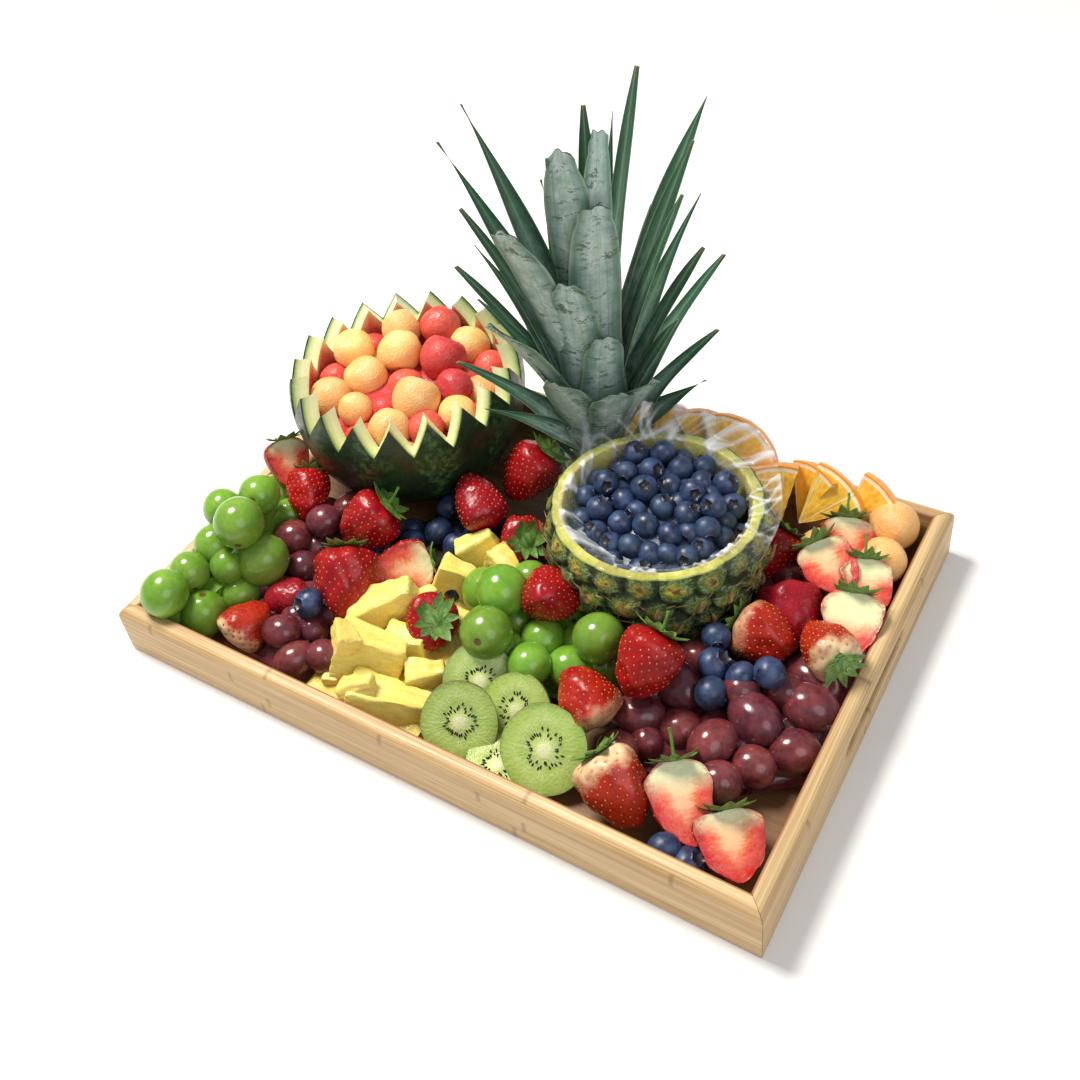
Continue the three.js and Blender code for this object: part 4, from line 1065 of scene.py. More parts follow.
def scattered(count, draw, taken, spacing, seed):
    """Up to `count` random places from `draw`, each at least `spacing` from all others."""
    rng = np.random.default_rng(seed)
    places = []
    for _ in range(count * 60):
        spot = draw(rng)
        if spot is None or len(places) == count:
            continue
        near = [np.linalg.norm(spot - other) for other in [*taken, *places]]
        if not near or min(near) > spacing:
            places.append(spot)
    return places


print("one berry has", len(blueberry(BERRY_RADIUS, 0).faces), "faces")

# %% [markdown]
# A heap in the CAD model is one rough body. A ray aimed at it finds a spot that really shows,
# and a berry is set in there unless another is too close.

# %% Fruit set into a heap's body
# every CAD face, and the node it belongs to
corners, triangles, owner = [], [], []
for name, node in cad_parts.items():
    triangles += [[v + len(corners) for v in p.vertices] for p in node.data.polygons]
    owner += [name] * len(node.data.polygons)
    corners += [v.co / MM for v in node.data.vertices]
skins = BVHTree.FromPolygons(corners, triangles)


def tops_of(node, taken, spacing, count, sink, margin, seed):
    """Places where a CAD heap's body is seen from above or from the front, `sink` mm inside it."""
    low, high = (np.array(corner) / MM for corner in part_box(node))
    edge, bottom = np.array([margin, margin, 0]), np.array([0, 0, margin])

    def drop(rng):
        way = unit(SERVED_SIDE) if rng.random() < 0.5 else np.array([0, 0, 1.0])
        aim = rng.uniform(low + edge, high - edge)
        spot, normal, face, _ = skins.ray_cast(aim + 400 * way, -way)
        if spot is None or owner[face] != node or abs(np.dot(normal, way)) < 0.3:
            return None
        place = np.array(spot) - sink * way
        inside = (place > low + edge + bottom).all() and (place < high - edge).all()
        return place if inside else None

    return scattered(count, drop, [np.array(t[:3], float) for t in taken], spacing, seed)


print("CAD faces that rays can meet:", len(owner))

# %% [markdown]
# The top layer is placed berry by berry from the photograph. Others are then set into the heap
# wherever its core could still be seen.

# %% The bowl's blueberries
BOWL_BERRIES = [
    (-20.4, 37, 63), (-34.4, 24.2, 61.6), (-27.3, 29.6, 73.1), (-12.9, 34.7, 74.8), (-4.5, 41.6, 65.1),
    (9.5, 40.9, 66.5), (27.6, 30.5, 70.4), (-26.2, 15.6, 69.4), (-12.8, 20.1, 73.3), (0.4, 29.7, 71.3),
    (-40.4, 10.9, 62.2), (-32.8, 2.6, 71.2), (-41.6, -3.7, 61.4), (-19.9, -1.7, 66.2), (-9.7, 5.5, 73.8),
    (0.7, 15.2, 70.4), (15, 14.9, 72.6), (14.7, 27.9, 67.5), (35.7, 21.7, 63.8), (-38.1, -17.2, 57.3),
    (-28.4, -13.6, 67.3), (3.2, 1, 68.6), (28.9, 10.9, 70.7), (-24.7, -26.6, 61.3), (-14.5, -15.2, 63),
    (-0.3, -13, 65.2), (17.8, 1.4, 68.4), (31.7, -3.1, 67), (14.3, -13.3, 64.4), (-2.7, -26.7, 60.4),
]
listed = [np.array(spot) + [PINE["x"], PINE["y"], 0] for spot in BOWL_BERRIES]
lower = tops_of("bowl_blueberries", listed, 9.8, 70, 3.2, 3, 8)
berries = [core_of("bowl_blueberries", 2.2, deep=0.0)]
for i, spot in enumerate(listed + lower):
    radius = BERRY_RADIUS * (1.0 if i < len(listed) else 0.93)
    berries.append(berry_laid(*spot, radius, i))
piece("bowl_of_blueberries", join(berries), [blueberry_skin], ["bowl_blueberries"], 60)
print("blueberries in the bowl:", len(listed), "on top and", len(lower), "under them")

# %% [markdown]
# A few berries have rolled between the other fruit. They are the same berry, each with its own
# random number.

# %% Loose blueberries
BERRIES = {
    "blueberries_middle": [
        (-90.5, -27.4, 21.8, 8.2), (-79.5, -6.4, 19.9, 8.4), (-71.8, 23.9, 25.8, 8.4), (-67.4, 4.3, 24.8, 9),
        (-48.2, 14.6, 18.7, 8.4), (-52, -0.2, 23.2, 8.4), (-47, -12.8, 16.1, 8.2), (-38.6, -25.2, 18, 8.2),
        (-46, 32, 20, 8), (-62.8, 15.7, 13.8, 8.4), (-88.9, 5.1, 15.2, 8.4), (-62, 36, 15, 8),
        (-70.7, -17.7, 14.9, 8), (-98.2, -15.7, 15.8, 8.2),
    ],
    "blueberries_right": [
        (119.4, -7.4, 38.7, 8), (125, -21.9, 35.6, 9.2), (154.5, -20.8, 44.4, 8.6), (141, -24.6, 37, 8.6),
        (130.4, -38.9, 35.1, 9),
    ],
    "blueberries_front": [(143, -119, 18, 8.4), (155.5, -119, 15, 8.4)],
    "blueberry_left": [(-100.5, -80.8, 31, 8.8)],
}
for node, spots in BERRIES.items():
    loose = [berry_laid(*spot, 100 + i + len(node)) for i, spot in enumerate(spots)]
    if len(spots) > 2:
        # the core keeps core_of's depth of 6 mm, so it is painted the crater's dark brown all over: painted shade
        # between the berries
        loose.append(core_of(node, 1.6))
    piece("loose_" + node, join(loose), [blueberry_skin], [node], 60)
print("loose blueberries:", sum(len(spots) for spots in BERRIES.values()))

# %% [markdown]
# ## The film liner
#
# Clear film is nearly invisible except where it creases: there it catches the light, and the finish paints that glint
# white. The sheet is a thin closed skin with creases where slow waves cross zero; each point knows how sharp its
# crease is, and the finish grows whiter and less clear with it: mostly a painted highlight, partly the whitening of
# creased film. Seen edge-on the film is also painted less clear, a painted reflection.

# %% Finish: clear film
film_clear, r = finish("film_clear", 0.12, Coat_Weight=0.3)
crease = r.paint("deep")
# seen edge-on the film grows less clear: a painted reflection
grazing_sheen = r.add("ShaderNodeLayerWeight", {"Blend": 0.35}).outputs["Facing"]
# creases are painted white: mostly a painted highlight, partly the film's own whitening
r.colour(r.mix(crease, ink("dfe8ec"), ink("ffffff")))
veil = r.plus(r.times(crease, 0.6), r.times(grazing_sheen, 0.08))
r.put(r.shader["Alpha"], r.times(r.plus(veil, 0.01), r.paint("tone"), True))
r.relief(r.noise(r.paint("own"), 4.0, 4.0), 0.4, 0.5)
print("finish:", film_clear.name)

# %% [markdown]
# The film goes down inside the bowl, over the rim and out past it. It hugs the rim in front and
# stands up loose at the back.

# %% The crumpled sheet
FILM_THICK = 0.18


def film_sheet():
    columns, rows = 400, 34
    angle = TAU * np.arange(columns) / columns
    line = np.array([(50.2, 57), (51.4, 73.2), (60, 74.2), (69, 81.2)], float)
    walk = np.concatenate([[0], np.cumsum(np.linalg.norm(np.diff(line, axis=0), axis=1))])
    s = np.linspace(0, walk[-1], rows)
    radius = np.interp(s, walk, line[:, 0])[:, None] + 0 * angle
    z = np.interp(s, walk, line[:, 1])[:, None] + 0 * angle
    down = s[:, None] + 0 * angle
    crease = np.zeros((rows, columns))
    for size, squeeze, shear, strength in [(34, 0.4, 6, 1.0), (20, 0.25, -9, 0.8), (13, 0.3, 12, 0.6)]:
        swung = angle + down * shear / 1000
        place = np.stack([58 * np.cos(swung), 58 * np.sin(swung), down * squeeze], -1)
        crease += strength * np.clip(1 - 1.5 * np.abs(ripple(place, size, int(size), 5)), 0, 1) ** 3
    crease = np.clip(crease / 1.5, 0, 1)
    free = np.maximum(z - 73.4, 0)
    # smooth and clear where it is drawn over the rim in front; its inner part leans in there
    shown = np.where(z > 73.6, np.clip(0.4 + 0.8 * np.sin(angle + 0.25), 0.03, 1), 1)
    crease *= shown
    front = np.clip(np.sin(-angle - 0.2), 0, 1) ** 0.7 * np.clip((73.0 - z) / 16, 0, 1)
    radius = radius - 11 * front
    z = z + 5 * front
    broad = np.sin(angle * 7 + 0.6) + 0.6 * np.sin(angle * 11 + 2)
    back_lift = 0.7 * np.cos(angle - 2.2)
    z = z + free * (0.18 * broad + 0.5 * back_lift) + crease * (0.5 + 0.25 * free) - 0.2
    radius = radius * (1 + free * 0.25 * np.cos(angle * 5 + 1) / radius) - 1.1 * crease * (z < 74)
    under, over = (np.stack([(radius - lift) * np.cos(angle), (radius - lift) * np.sin(angle), z + lift], -1)
                   for lift in (0.0, FILM_THICK))
    points = np.concatenate([under, over[::-1]]).reshape(-1, 3)
    faces = net(2 * rows + 1, columns) % (2 * rows * columns)
    deep = np.concatenate([crease, crease[::-1]]).reshape(-1)
    clear = np.concatenate([shown, shown[::-1]]).reshape(-1)
    return Shape(points, faces, deep=np.clip(deep * 1.5 - 0.25, 0, 1), tone=clear)


piece("film_liner", laid(film_sheet(), shifted(PINE["x"], PINE["y"])), [film_clear], ["bowl_film"], 180)
print("film liner:", made["film_liner"], "triangles")

# %% [markdown]
# ## The pineapple's crown
#
# Each leaf is a channel that leaves the axis steeply and arches out. Its outer side carries a
# chalky bloom full of fine scratches; its inner side is a plainer, darker green. Some leaves
# were cut short when the crown was taken off, and end bluntly.

# %% Finishes: crown leaves
def leaf_finish(name, colour, patch, bloom, low, high, worn):
    """The bloom's amount runs from `low` at a leaf's foot to `high` at its tip."""
    material, r = finish(name, 0.5)
    own = r.paint("own")
    off_middle = r.sums("ABSOLUTE", r.split(own)[1])
    fibres = streaks(r, own, 0.5, 46.0)
    green = mottled(r, own, 14.0, ink(colour), ink(patch), 0.6)
    waxy = bloomed(r, own, green, ink(bloom), r.fit(r.paint("deep"), 0.3, 0.85, low, high), 0.42)
    fibrous = r.mix(r.fit(fibres, 0.5, 0.64, 0.0, 0.4), waxy["Colour"], ink(patch))
    # darker green towards the edges: partly the leaf's own colour, partly painted shade
    greener = r.mix(r.fit(off_middle, 3.5, 8.0, 0.0, 0.7), fibrous, ink(patch))
    edged = r.mix(r.fit(off_middle, 8.8, 9.6, 0.0, 0.5), greener, ink("a4bb98"))
    # paler down the middle: partly the leaf's own midrib, partly a painted highlight
    pale_middle_and_highlight = r.mix(r.fit(off_middle, 0.0, 2.2, 0.35, 0.0), edged, ink("a9bda6"))
    scuff = r.noise(r.stretch(own, (1.0, 0.5, 1.0)), 7.0, 7.0, 0.85)
    scuffed = r.mix(r.fit(scuff, 0.54, 0.6, 0.0, worn), pale_middle_and_highlight, ink("31552c"))
    aged = r.mix(r.fit(r.paint("deep"), 0.02, 0.2, 0.7, 0.0), scuffed, ink("c5c79a"))
    r.colour(r.mix(r.fit(r.paint("deep"), 0.97, 1.0, 0.0, 0.5), aged, ink("7c6c3c")))
    r.roughness(waxy["Roughness"])
    r.relief(fibres, 0.6, 0.6)
    return material


leaf_outside = leaf_finish("leaf_outside", "94b3a5", "47705a", "d9e5e3", 1.0, 0.75, 0.85)
leaf_inside = leaf_finish("leaf_inside", "2f6a41", "163c26", "b4ccc8", 1.1, 0.06, 0.25)
print("finishes:", leaf_outside.name, leaf_inside.name)

# %% [markdown]
# A leaf follows the curve of its CAD leaf, drawn finely: thick at the foot, channelled, folded
# along its middle, and twisted a little so that its face turns to the light.

# %% Where the crown's leaves are
CROWN = {"x": -8, "y": 104, "stub": 23, "stub_z": 44, "leaf_z": 36}
CUT_LEAVES = [
    (-76, 22, 258, 27), (-34, 24, 267, 21), (-45, 23, 226, 31), (-108, 46, 220, 29), (-77, 24, 182, 30),
    (-46, 20, 144, 28), (-124, 49, 155, 27), (-92, 32, 122, 27), (-44, 33, 115, 26), (-18, 34, 115, 25),
]
LEAVES = [
    (-142, 51, 278, 25), (-155, 66, 251, 18), (-140, 56, 220, 22), (-135, 51, 200, 21), (-146, 61, 180, 19),
    (-128, 53, 170, 20), (-140, 65, 120, 20), (-122, 57, 100, 19),
    (100, 11, 259, 20), (60, 18, 256, 18), (30, 30, 285, 23), (32, 63, 264, 21), (25, 54, 244, 20),
    (35, 56, 206, 20), (12, 48, 220, 20), (36, 66, 164, 21), (18, 55, 184, 20), (0, 43, 148, 20),
    (30, 58, 118, 20), (15, 50, 95, 20), (110, 40, 230, 20), (140, 58, 190, 21), (80, 52, 176, 21),
    (165, 62, 140, 19), (115, 60, 120, 20),
]
LOWEST_TIP, HIGHEST_TIP = 95, 285
FACES_WAY, LEAF_TWIST, CUT_TWIST = -58, 52, -30  # degrees: where leaves twist their faces, how far
print("leaves to draw:", len(CUT_LEAVES) + len(LEAVES))

# %% [markdown]
# Each leaf is a stack of rings, and a ring is its outer side and then its inner one.

# %% Drawing a leaf
def crown_leaf(turn, out, tip_z, width, cut, seed, rows=34, columns=9):
    """(turn about the axis, reach, tip height, width): the same curve as the CAD leaf, finely drawn."""
    t = np.linspace(0, 1, rows)[:, None]
    across = np.linspace(-1, 1, columns)[None, :]
    height = tip_z - CROWN["leaf_z"]
    foot = 4 + 12 * (HIGHEST_TIP - tip_z) / (HIGHEST_TIP - LOWEST_TIP)
    if cut:
        half = width / 2 * np.maximum((0.75 + 1.1 * t) * (1 - t) ** 0.35, 0.5)
    else:
        half = width / 2 * np.maximum((0.8 + 1.6 * t) * (1 - t) ** 0.9, 0.03)
    half = half * (1 + 0.03 * np.sin(t * 17 + seed))
    arch = out * (0.2 * t + 0.8 * t ** 2.1)
    channel = 0.42 * half * np.abs(across) ** 1.5 * (1 - 0.4 * t)
    wave = 1.2 * np.sin(t * 9 + turn) * across
    rise = CROWN["leaf_z"] + height * (t - 0.06 * np.sin(math.pi * t))
    if cut:  # a ragged end, lower at one side
        ragged = 5 * np.abs(across) ** 2.5 + 2 * np.abs(np.sin(across * 2.3 + seed)) + np.sin(across * 7 + seed * 2)
        rise = rise - ragged * np.clip((t - 0.85) / 0.15, 0, 1)
    fold = 0.5 * np.exp(-((across / 0.16) ** 2))
    at_tip = math.radians(CUT_TWIST if cut else LEAF_TWIST) * math.sin(math.radians(turn - FACES_WAY))
    twist = at_tip * (0.4 + 0.6 * t)
    thick = 1.15 * (1 - 0.55 * t) * np.sqrt(1 - 0.93 * across ** 2)
    sides = []
    for sign in (1, -1):
        outward = sign * thick - channel - fold
        sideways = across * half + wave
        x = foot + arch + outward * np.cos(twist) - sideways * np.sin(twist)
        y = outward * np.sin(twist) + sideways * np.cos(twist)
        sides.append(np.stack(np.broadcast_arrays(x, y, rise), -1))
    ring = np.concatenate([sides[0], sides[1][:, ::-1]], 1)
    strip = np.repeat([0, 1], columns)
    both = np.concatenate([across, across[:, ::-1]], 1) * 10
    own = np.stack(np.broadcast_arrays(t * height, both, np.full((1, 1), 37.0 * seed)), -1).reshape(-1, 3)
    own = np.vstack([own, own[0], own[-1]])
    deep = np.concatenate([np.repeat(t[:, 0], 2 * columns), [0, 1]])
    if cut:
        deep = np.minimum(deep, 0.96)
    return laid(closed(ring, finish=np.tile(strip, rows + 1), deep=deep, own=own), shifted(0, 0, turn=turn))


print("one leaf has", len(crown_leaf(0, 50, 200, 20, False, 0).faces), "faces")

# %% [markdown]
# The stub carries the scars of leaves that were pulled off. Small dry leaves wrap its foot, set
# at the golden angle as a plant sets them.

# %% The whole crown
def crown_stub():
    """The cut base with the old leaf scars, and above it the tight bud of leaf bases."""
    line = np.array([(23, FLOOR_TOP), (23, 36), (20, 46), (19, 70), (15, 100), (8, 132), (1, 147)], float)
    z = np.concatenate([np.linspace(FLOOR_TOP, 46, 24), np.linspace(49, 147, 22)])
    radius = np.interp(z, line[:, 1], line[:, 0])
    columns = 72
    angle = TAU * np.arange(columns) / columns
    scars = np.abs(np.sin(4.5 * angle[None, :] + z[:, None] * 0.28)) * np.abs(np.sin(z[:, None] * 0.33 + 0.5))
    radius = radius[:, None] - 0.6 + (1.3 * scars ** 0.7) * (z[:, None] < 125)
    stub = turned(radius, z, columns, deep=0.15)
    stub.own = stub.points[:, [2, 0, 1]]
    return stub


rng = np.random.default_rng(21)
leaves = [crown_stub()]
for i, row in enumerate(CUT_LEAVES):
    leaves.append(crown_leaf(*row, True, i))
for i, row in enumerate(LEAVES):
    leaves.append(crown_leaf(*row, False, i + 20))
for i in range(22):  # small dried leaves that wrap the base
    small = crown_leaf(137.5 * i, rng.uniform(9, 24), rng.uniform(62, 92), rng.uniform(13, 17), False, i + 60, 16, 7)
    small.points[:, 2] -= rng.uniform(6, 22)
    leaves.append(small)
for leaf in leaves:
    leaf.tone[:] = rng.uniform(0.15, 0.95)
piece("crown_of_leaves", laid(join(leaves), shifted(CROWN["x"], CROWN["y"])), [leaf_outside, leaf_inside],
      ["pineapple_crown"], 50)
print("crown:", len(leaves) - 1, "leaves,", made["crown_of_leaves"], "triangles")

# %% [markdown]
# ## Strawberries
#
# A strawberry's seeds wind round it in a spiral and each sits in its own dimple, so both the
# dimples and the seeds are modelled. A half is the same berry with everything beyond the cut
# pressed flat; the flesh then runs from red at the rim to white at the heart.

# %% Finish: strawberry skin
strawberry_skin, r = finish("strawberry_skin", 0.3, Subsurface_Weight=0.05, Subsurface_Scale=0.003,
                            Specular_IOR_Level=0.35)
own = r.paint("own")
tone = r.paint("tone")
z = r.split(own)[2]
red = mottled(r, own, 9.0, ink("8f0a10"), ink("bb1c14"), 0.65)
uneven = r.times(r.minus(r.noise(own, 7.0, 3.0), 0.5), 16.0)
shoulder = r.fit(r.plus(z, uneven), -11.0, -1.5, 0.0, 1.0)
paleness = r.times(shoulder, r.fit(tone, 0.5, 0.9, 0.0, 0.95))
red = r.mix(paleness, red, ink("edd3a4"))
# each seed's dimple is painted a darker red: painted shade in the dimples
pit = r.fit(r.paint("deep"), 0.1, 0.9, 0.0, 0.45)
r.colour(r.mix(pit, red, ink("8c0f14")))
r.roughness(r.fit(r.noise(own, 2.5), 0.35, 0.65, 0.2, 0.38))
r.relief(r.noise(own, 1.0, 3.0), 0.15, 0.4)
print("finish:", strawberry_skin.name)

# %% [markdown]
# A cut berry is red under its skin and white at its heart, with streaks between, and greenish
# white below the cap. The tip is the ripest part.

# %% Finish: strawberry flesh
strawberry_flesh, r = finish("strawberry_flesh", 0.3, Subsurface_Weight=0.15, Subsurface_Scale=0.004)
own = r.paint("own")
x, y, z = r.split(own)
along_rays = r.add("ShaderNodeCombineXYZ", {0: y, 1: z, 2: x}).outputs[0]
vein = streaks(r, along_rays, 1.1, 9.0)
edge = r.plus(r.paint("deep"), r.times(r.minus(vein, 0.5), 13.0))
heart = r.ramp(r.over(edge, 12.0), (0.0, ink("a50f10")), (0.22, ink("c8231a")), (0.46, ink("da3f24")),
               (0.68, ink("e66a3e")), (0.98, ink("f3c08e")))
capped = r.fit(r.plus(z, r.fit(r.paint("tone"), 0.5, 0.9, 0.0, 12.0)), -11.0, -2.5, 0.0, 0.96)
capped = r.times(capped, r.fit(edge, -0.5, 3.5, 0.15, 1.0))
heart = r.mix(capped, heart, ink("e0e6b2"))
ripe = r.mix(r.fit(z, -33.0, -12.0, 0.9, 0.0), heart, ink("cc281c"))
wet = wet_flesh(r, own, ripe, r.mix(0.22, ripe, ink("fff0dc")), 1.3)
r.colour(wet["Colour"])
r.roughness(wet["Roughness"])
r.relief(wet["Height"], 0.3, 0.3)
print("finish:", strawberry_flesh.name)

# %% [markdown]
# Ripe berries have straw-coloured seeds and dark ones have brown seeds. The leaflets are a
# plain mid green with paler veins.

# %% Finishes: seeds and leaves
strawberry_seed, r = finish("strawberry_seed", 0.35)
r.colour(r.mix(r.paint("tone"), ink("6e3418"), ink("cf9a48")))

strawberry_leaf, r = finish("strawberry_leaf", 0.5)
own = r.paint("own")
vein = streaks(r, own, 0.6, 12.0)
leafy = mottled(r, own, 4.0, ink("3c6a28"), ink("789c40"), 0.7)
r.colour(r.mix(r.fit(vein, 0.5, 0.7, 0.0, 0.4), leafy, ink("a9c56c")))
r.relief(vein, 0.5, 0.4)
print("finishes:", strawberry_seed.name, strawberry_leaf.name)

# %% [markdown]
# The outline comes first, then the dimples, then one seed in each. Placing the seeds at the
# golden angle spreads them as evenly as the plant does.

# %% The berry and its seeds
HALF_AT = 2.0  # mm from the berry's axis to the cut
SEED, LEAF = 2, 3  # a berry's finishes are skin, cut flesh, seed and leaf, counted from 0
LEAFLETS = 10


def berry_profile(t):
    """Radius along the berry: rounded shoulders, then a taper to a blunt tip."""
    t = np.asarray(t, float)
    shoulder = np.sqrt(np.maximum(1 - (1 - np.clip(t / 0.26, 0, 1)) ** 2.6, 0))
    taper = np.maximum(1 - np.clip((t - 0.26) / 0.74, 0, 1) ** 1.9, 0) ** 0.62
    return np.where(t < 0.26, shoulder, taper)


def seed_spots(count):
    """Places of the seeds: (t along the berry, angle round it)."""
    area = np.cumsum(berry_profile(np.linspace(0, 1, 400)))
    share = (np.arange(count) + 0.5) / count
    t = np.interp(share * area[-1], area, np.linspace(0, 1, 400))
    return 0.04 + 0.94 * t, np.arange(count) * math.radians(137.508)


print("a berry 30 mm long has", len(seed_spots(80 + 78)[0]), "seeds")

# %% [markdown]
# The body is turned from that outline and pressed in under each seed. For a half, what lies
# beyond the cut is pushed back to a nearly flat face.

# %% A whole or halved berry
def strawberry_body(width, length, halved, seed, seed_tone):
    rng = np.random.default_rng(seed)
    rows, columns = 46, 60
    t = 1 - (1 - np.cos(np.linspace(0.06, math.pi - 0.05, rows))) / 2
    angle = TAU * np.arange(columns) / columns
    lobes = 1 + 0.045 * np.cos(3 * angle + rng.uniform(0, TAU)) + 0.035 * np.cos(2 * angle + rng.uniform(0, TAU))
    radius = width / 2 * berry_profile(t)[:, None] * lobes
    z = -t[:, None] * length + 0 * angle
    berry = turned(radius, z, columns, ends=(-length, -0.6))
    swell = 0.028 * width * ripple(berry.points, 15.0, seed)
    middle = np.array([0, 0, -0.45 * length])
    out = berry.points - middle
    out /= np.linalg.norm(out, axis=1)[:, None]
    berry.points += out * swell[:, None] * 0.7
    spot_t, spot_a = seed_spots(int(80 + 2.6 * length))
    spot_r = np.interp(spot_t, np.linspace(0, 1, 60), width / 2 * berry_profile(np.linspace(0, 1, 60)))
    spots = np.stack([spot_r * np.cos(spot_a), spot_r * np.sin(spot_a), -spot_t * length], 1)
    away = np.linalg.norm(berry.points[:, None] - spots[None], axis=2)
    # each spot sits on the real surface: it takes the place of the nearest point
    spots = berry.points[away.argmin(0)]
    away = np.linalg.norm(berry.points[:, None] - spots[None], axis=2).min(1)
    pit = np.exp(-((away / 1.05) ** 2))
    berry.points -= out * 0.55 * pit[:, None]
    berry.deep = pit
    berry.own = berry.points * [1, 1, 33 / length]  # the finish reads a berry 33 mm long
    if halved:
        beyond = berry.points[:, 0] > HALF_AT
        t_here = np.clip(-berry.points[:, 2] / length, 0, 1)
        skin = width / 2 * berry_profile(t_here) - np.hypot(HALF_AT, berry.points[:, 1])
        skin = np.maximum(skin, 0)
        face_x = HALF_AT - 0.07 * skin + 0.12 * ripple(berry.points, 5.0, seed + 3)
        berry.points[:, 0] = np.where(beyond, face_x, berry.points[:, 0])
        berry.deep = np.where(beyond, skin, berry.deep)
        corners = np.where(berry.faces < 0, berry.faces[:, :1], berry.faces)
        berry.finish = beyond[corners].all(1).astype(int)
        spots = spots[spots[:, 0] < HALF_AT - 0.6]
    seeds = []
    for i, spot in enumerate(spots):
        way = unit(spot - middle)
        matrix = frame_at(spot - way * 0.42, way, (0.02, 0, 1))
        pip = turned([0.3, 0.43, 0.3], [-0.35, 0, 0.35], 5, ends=(-0.45, 0.45))
        pip.points[:, 0] *= 1.5
        seeds.append(laid(pip, matrix, seed_tone, SEED))
    return [berry, *seeds]


print("parts of one berry:", len(strawberry_body(30, 30, False, 0, 0.8)))

# %% [markdown]
# The cap is the flower's own green leaves, round a small hub where the stem comes off.

# %% The cap
def strawberry_cap(width, seed):
    """Thin pointed leaflets in a ring, each bent its own way."""
    rng = np.random.default_rng(seed + 50)
    hub = turned([0.13 * width, 0.16 * width, 0.09 * width], [-0.6, 0.3, 0.9], 14, ends=(-0.9, 1.1))
    hub.finish[:] = LEAF
    hub.tone[:] = 0.45
    leaflets = [hub]
    for i in range(LEAFLETS):
        long = width * 0.46 * rng.uniform(0.72, 1.02)
        wide = width * 0.115 * rng.uniform(0.8, 1.2)
        lift = rng.uniform(0.8, 3.4)
        t = np.linspace(0, 1, 9)[:, None]
        across = np.linspace(-1, 1, 5)[None, :]
        half = wide * np.maximum(np.sin(math.pi * np.minimum(0.22 + 0.78 * t, 1)) ** 0.8, 0.06)
        rise = 0.4 + lift * t ** 2 - 0.9 * np.sin(math.pi * t) + 0.35 * across ** 2
        thick = 0.22 * (1 - 0.7 * t)
        upper, under = (np.stack(np.broadcast_arrays(0.6 + long * t, across * half, rise + side), -1)
                        for side in (thick, -thick))
        leaflet = closed(np.concatenate([under, upper[:, ::-1]], 1), finish=LEAF)
        leaflets.append(laid(leaflet, shifted(0, 0, turn=360 * i / LEAFLETS + rng.uniform(-9, 9)), rng.uniform()))
    return leaflets


print("leaflets in a cap:", LEAFLETS)

# %% [markdown]
# Each row gives a berry's cap, its tip and its width in mm, whether it is whole or halved, the
# way its cut face looks, its stem and how ripe it is.

# %% Every strawberry where it lies
STRAWBERRIES = [
    ("back_left_half", (-177, 2, 62), (-162, -14, 38), 29, "half", (0.9, -0.2, 0.6), 0, 0.5),
    ("left_small", (-160, 0, 41), (-146, -27, 30), 29, "cap", None, 0, 0.45),
    ("left_big", (-96, -46, 47), (-77, -76, 22), 36, "cap", None, 0, 0.4),
    ("left_middle", (-91, -8, 49), (-112, -31, 28), 34, "cap", None, 14, 0.35),
    ("middle_half", (-55, -20, 28), (-84, -47, 26), 30, "half", SERVED_SIDE, 0, 0.5),
    ("front_left_pale", (-133, -117, 17), (-127, -90, 27), 29, "bare", None, 0, 0.9),
    ("left_dark", (-133, -78, 16), (-107, -74, 28), 25, "bare", None, 0, 0.1),
    ("middle_dark_back", (-35, 14, 33), (-62, 31, 52), 30, "bare", None, 0, 0.15),
    ("behind_middle", (-22, 66, 56), (-41, 44, 30), 33, "cap", None, 9, 0.4),
    ("beside_bowl", (-10, 15, 32), (-28, 28, 13), 30, "cap", None, 0, 0.3),
    ("middle_capped", (-25, -60, 34), (-42, -53, 12), 31, "cap", None, 0, 0.35),
    ("by_bowl_round", (26, -15, 34), (32, -38, 58), 32, "bare", None, 0, 0.35),
    ("front_of_bowl", (100, -31, 58), (95, -60, 36), 34, "cap", None, 12, 0.5),
    ("on_kiwi", (88, -76, 27), (62, -63, 45), 33, "bare", None, 0, 0.7),
    ("front_whole", (97, -97, 38), (127, -113, 15), 34, "cap", None, 0, 0.9),
    ("front_half", (132, -84, 37), (154, -111, 16), 33, "half", SERVED_SIDE, 16, 0.6),
    ("corner_half", (162, -92, 28), (180, -116, 13), 33, "half", SERVED_SIDE, 0, 0.5),
    ("right_pale", (124, 9, 36), (158, 7, 32), 33, "cap", None, 0, 0.75),
    ("right_dark", (137, 46, 33), (154, 16, 23), 33, "bare", None, 0, 0.12),
    ("right_half", (143, 70, 47), (169, 51, 36), 32, "half", (0.35, -0.5, 0.8), 0, 0.5),
    ("back_half", (150, 101, 41), (161, 76, 26), 30, "half", SERVED_SIDE, 14, 0.5),
    ("edge_half", (170, 74, 42), (184, 47, 30), 28, "half", (0.4, -0.3, 0.9), 14, 0.7),
    ("pale_half", (173, 47, 44), (182, 16, 30), 32, "half", (0.2, -0.5, 0.85), 0, 0.9),
    ("edge_pale", (184, -2, 45), (160, 20, 40), 28, "cap", None, 0, 0.9),
    ("behind_right", (122, 84, 34), (113, 58, 14), 28, "cap", None, 0, 0.4),
]
print("strawberries:", len(STRAWBERRIES))

# %% [markdown]
# A berry's axis runs from its tip to its cap. A cut face is turned the way the row says.

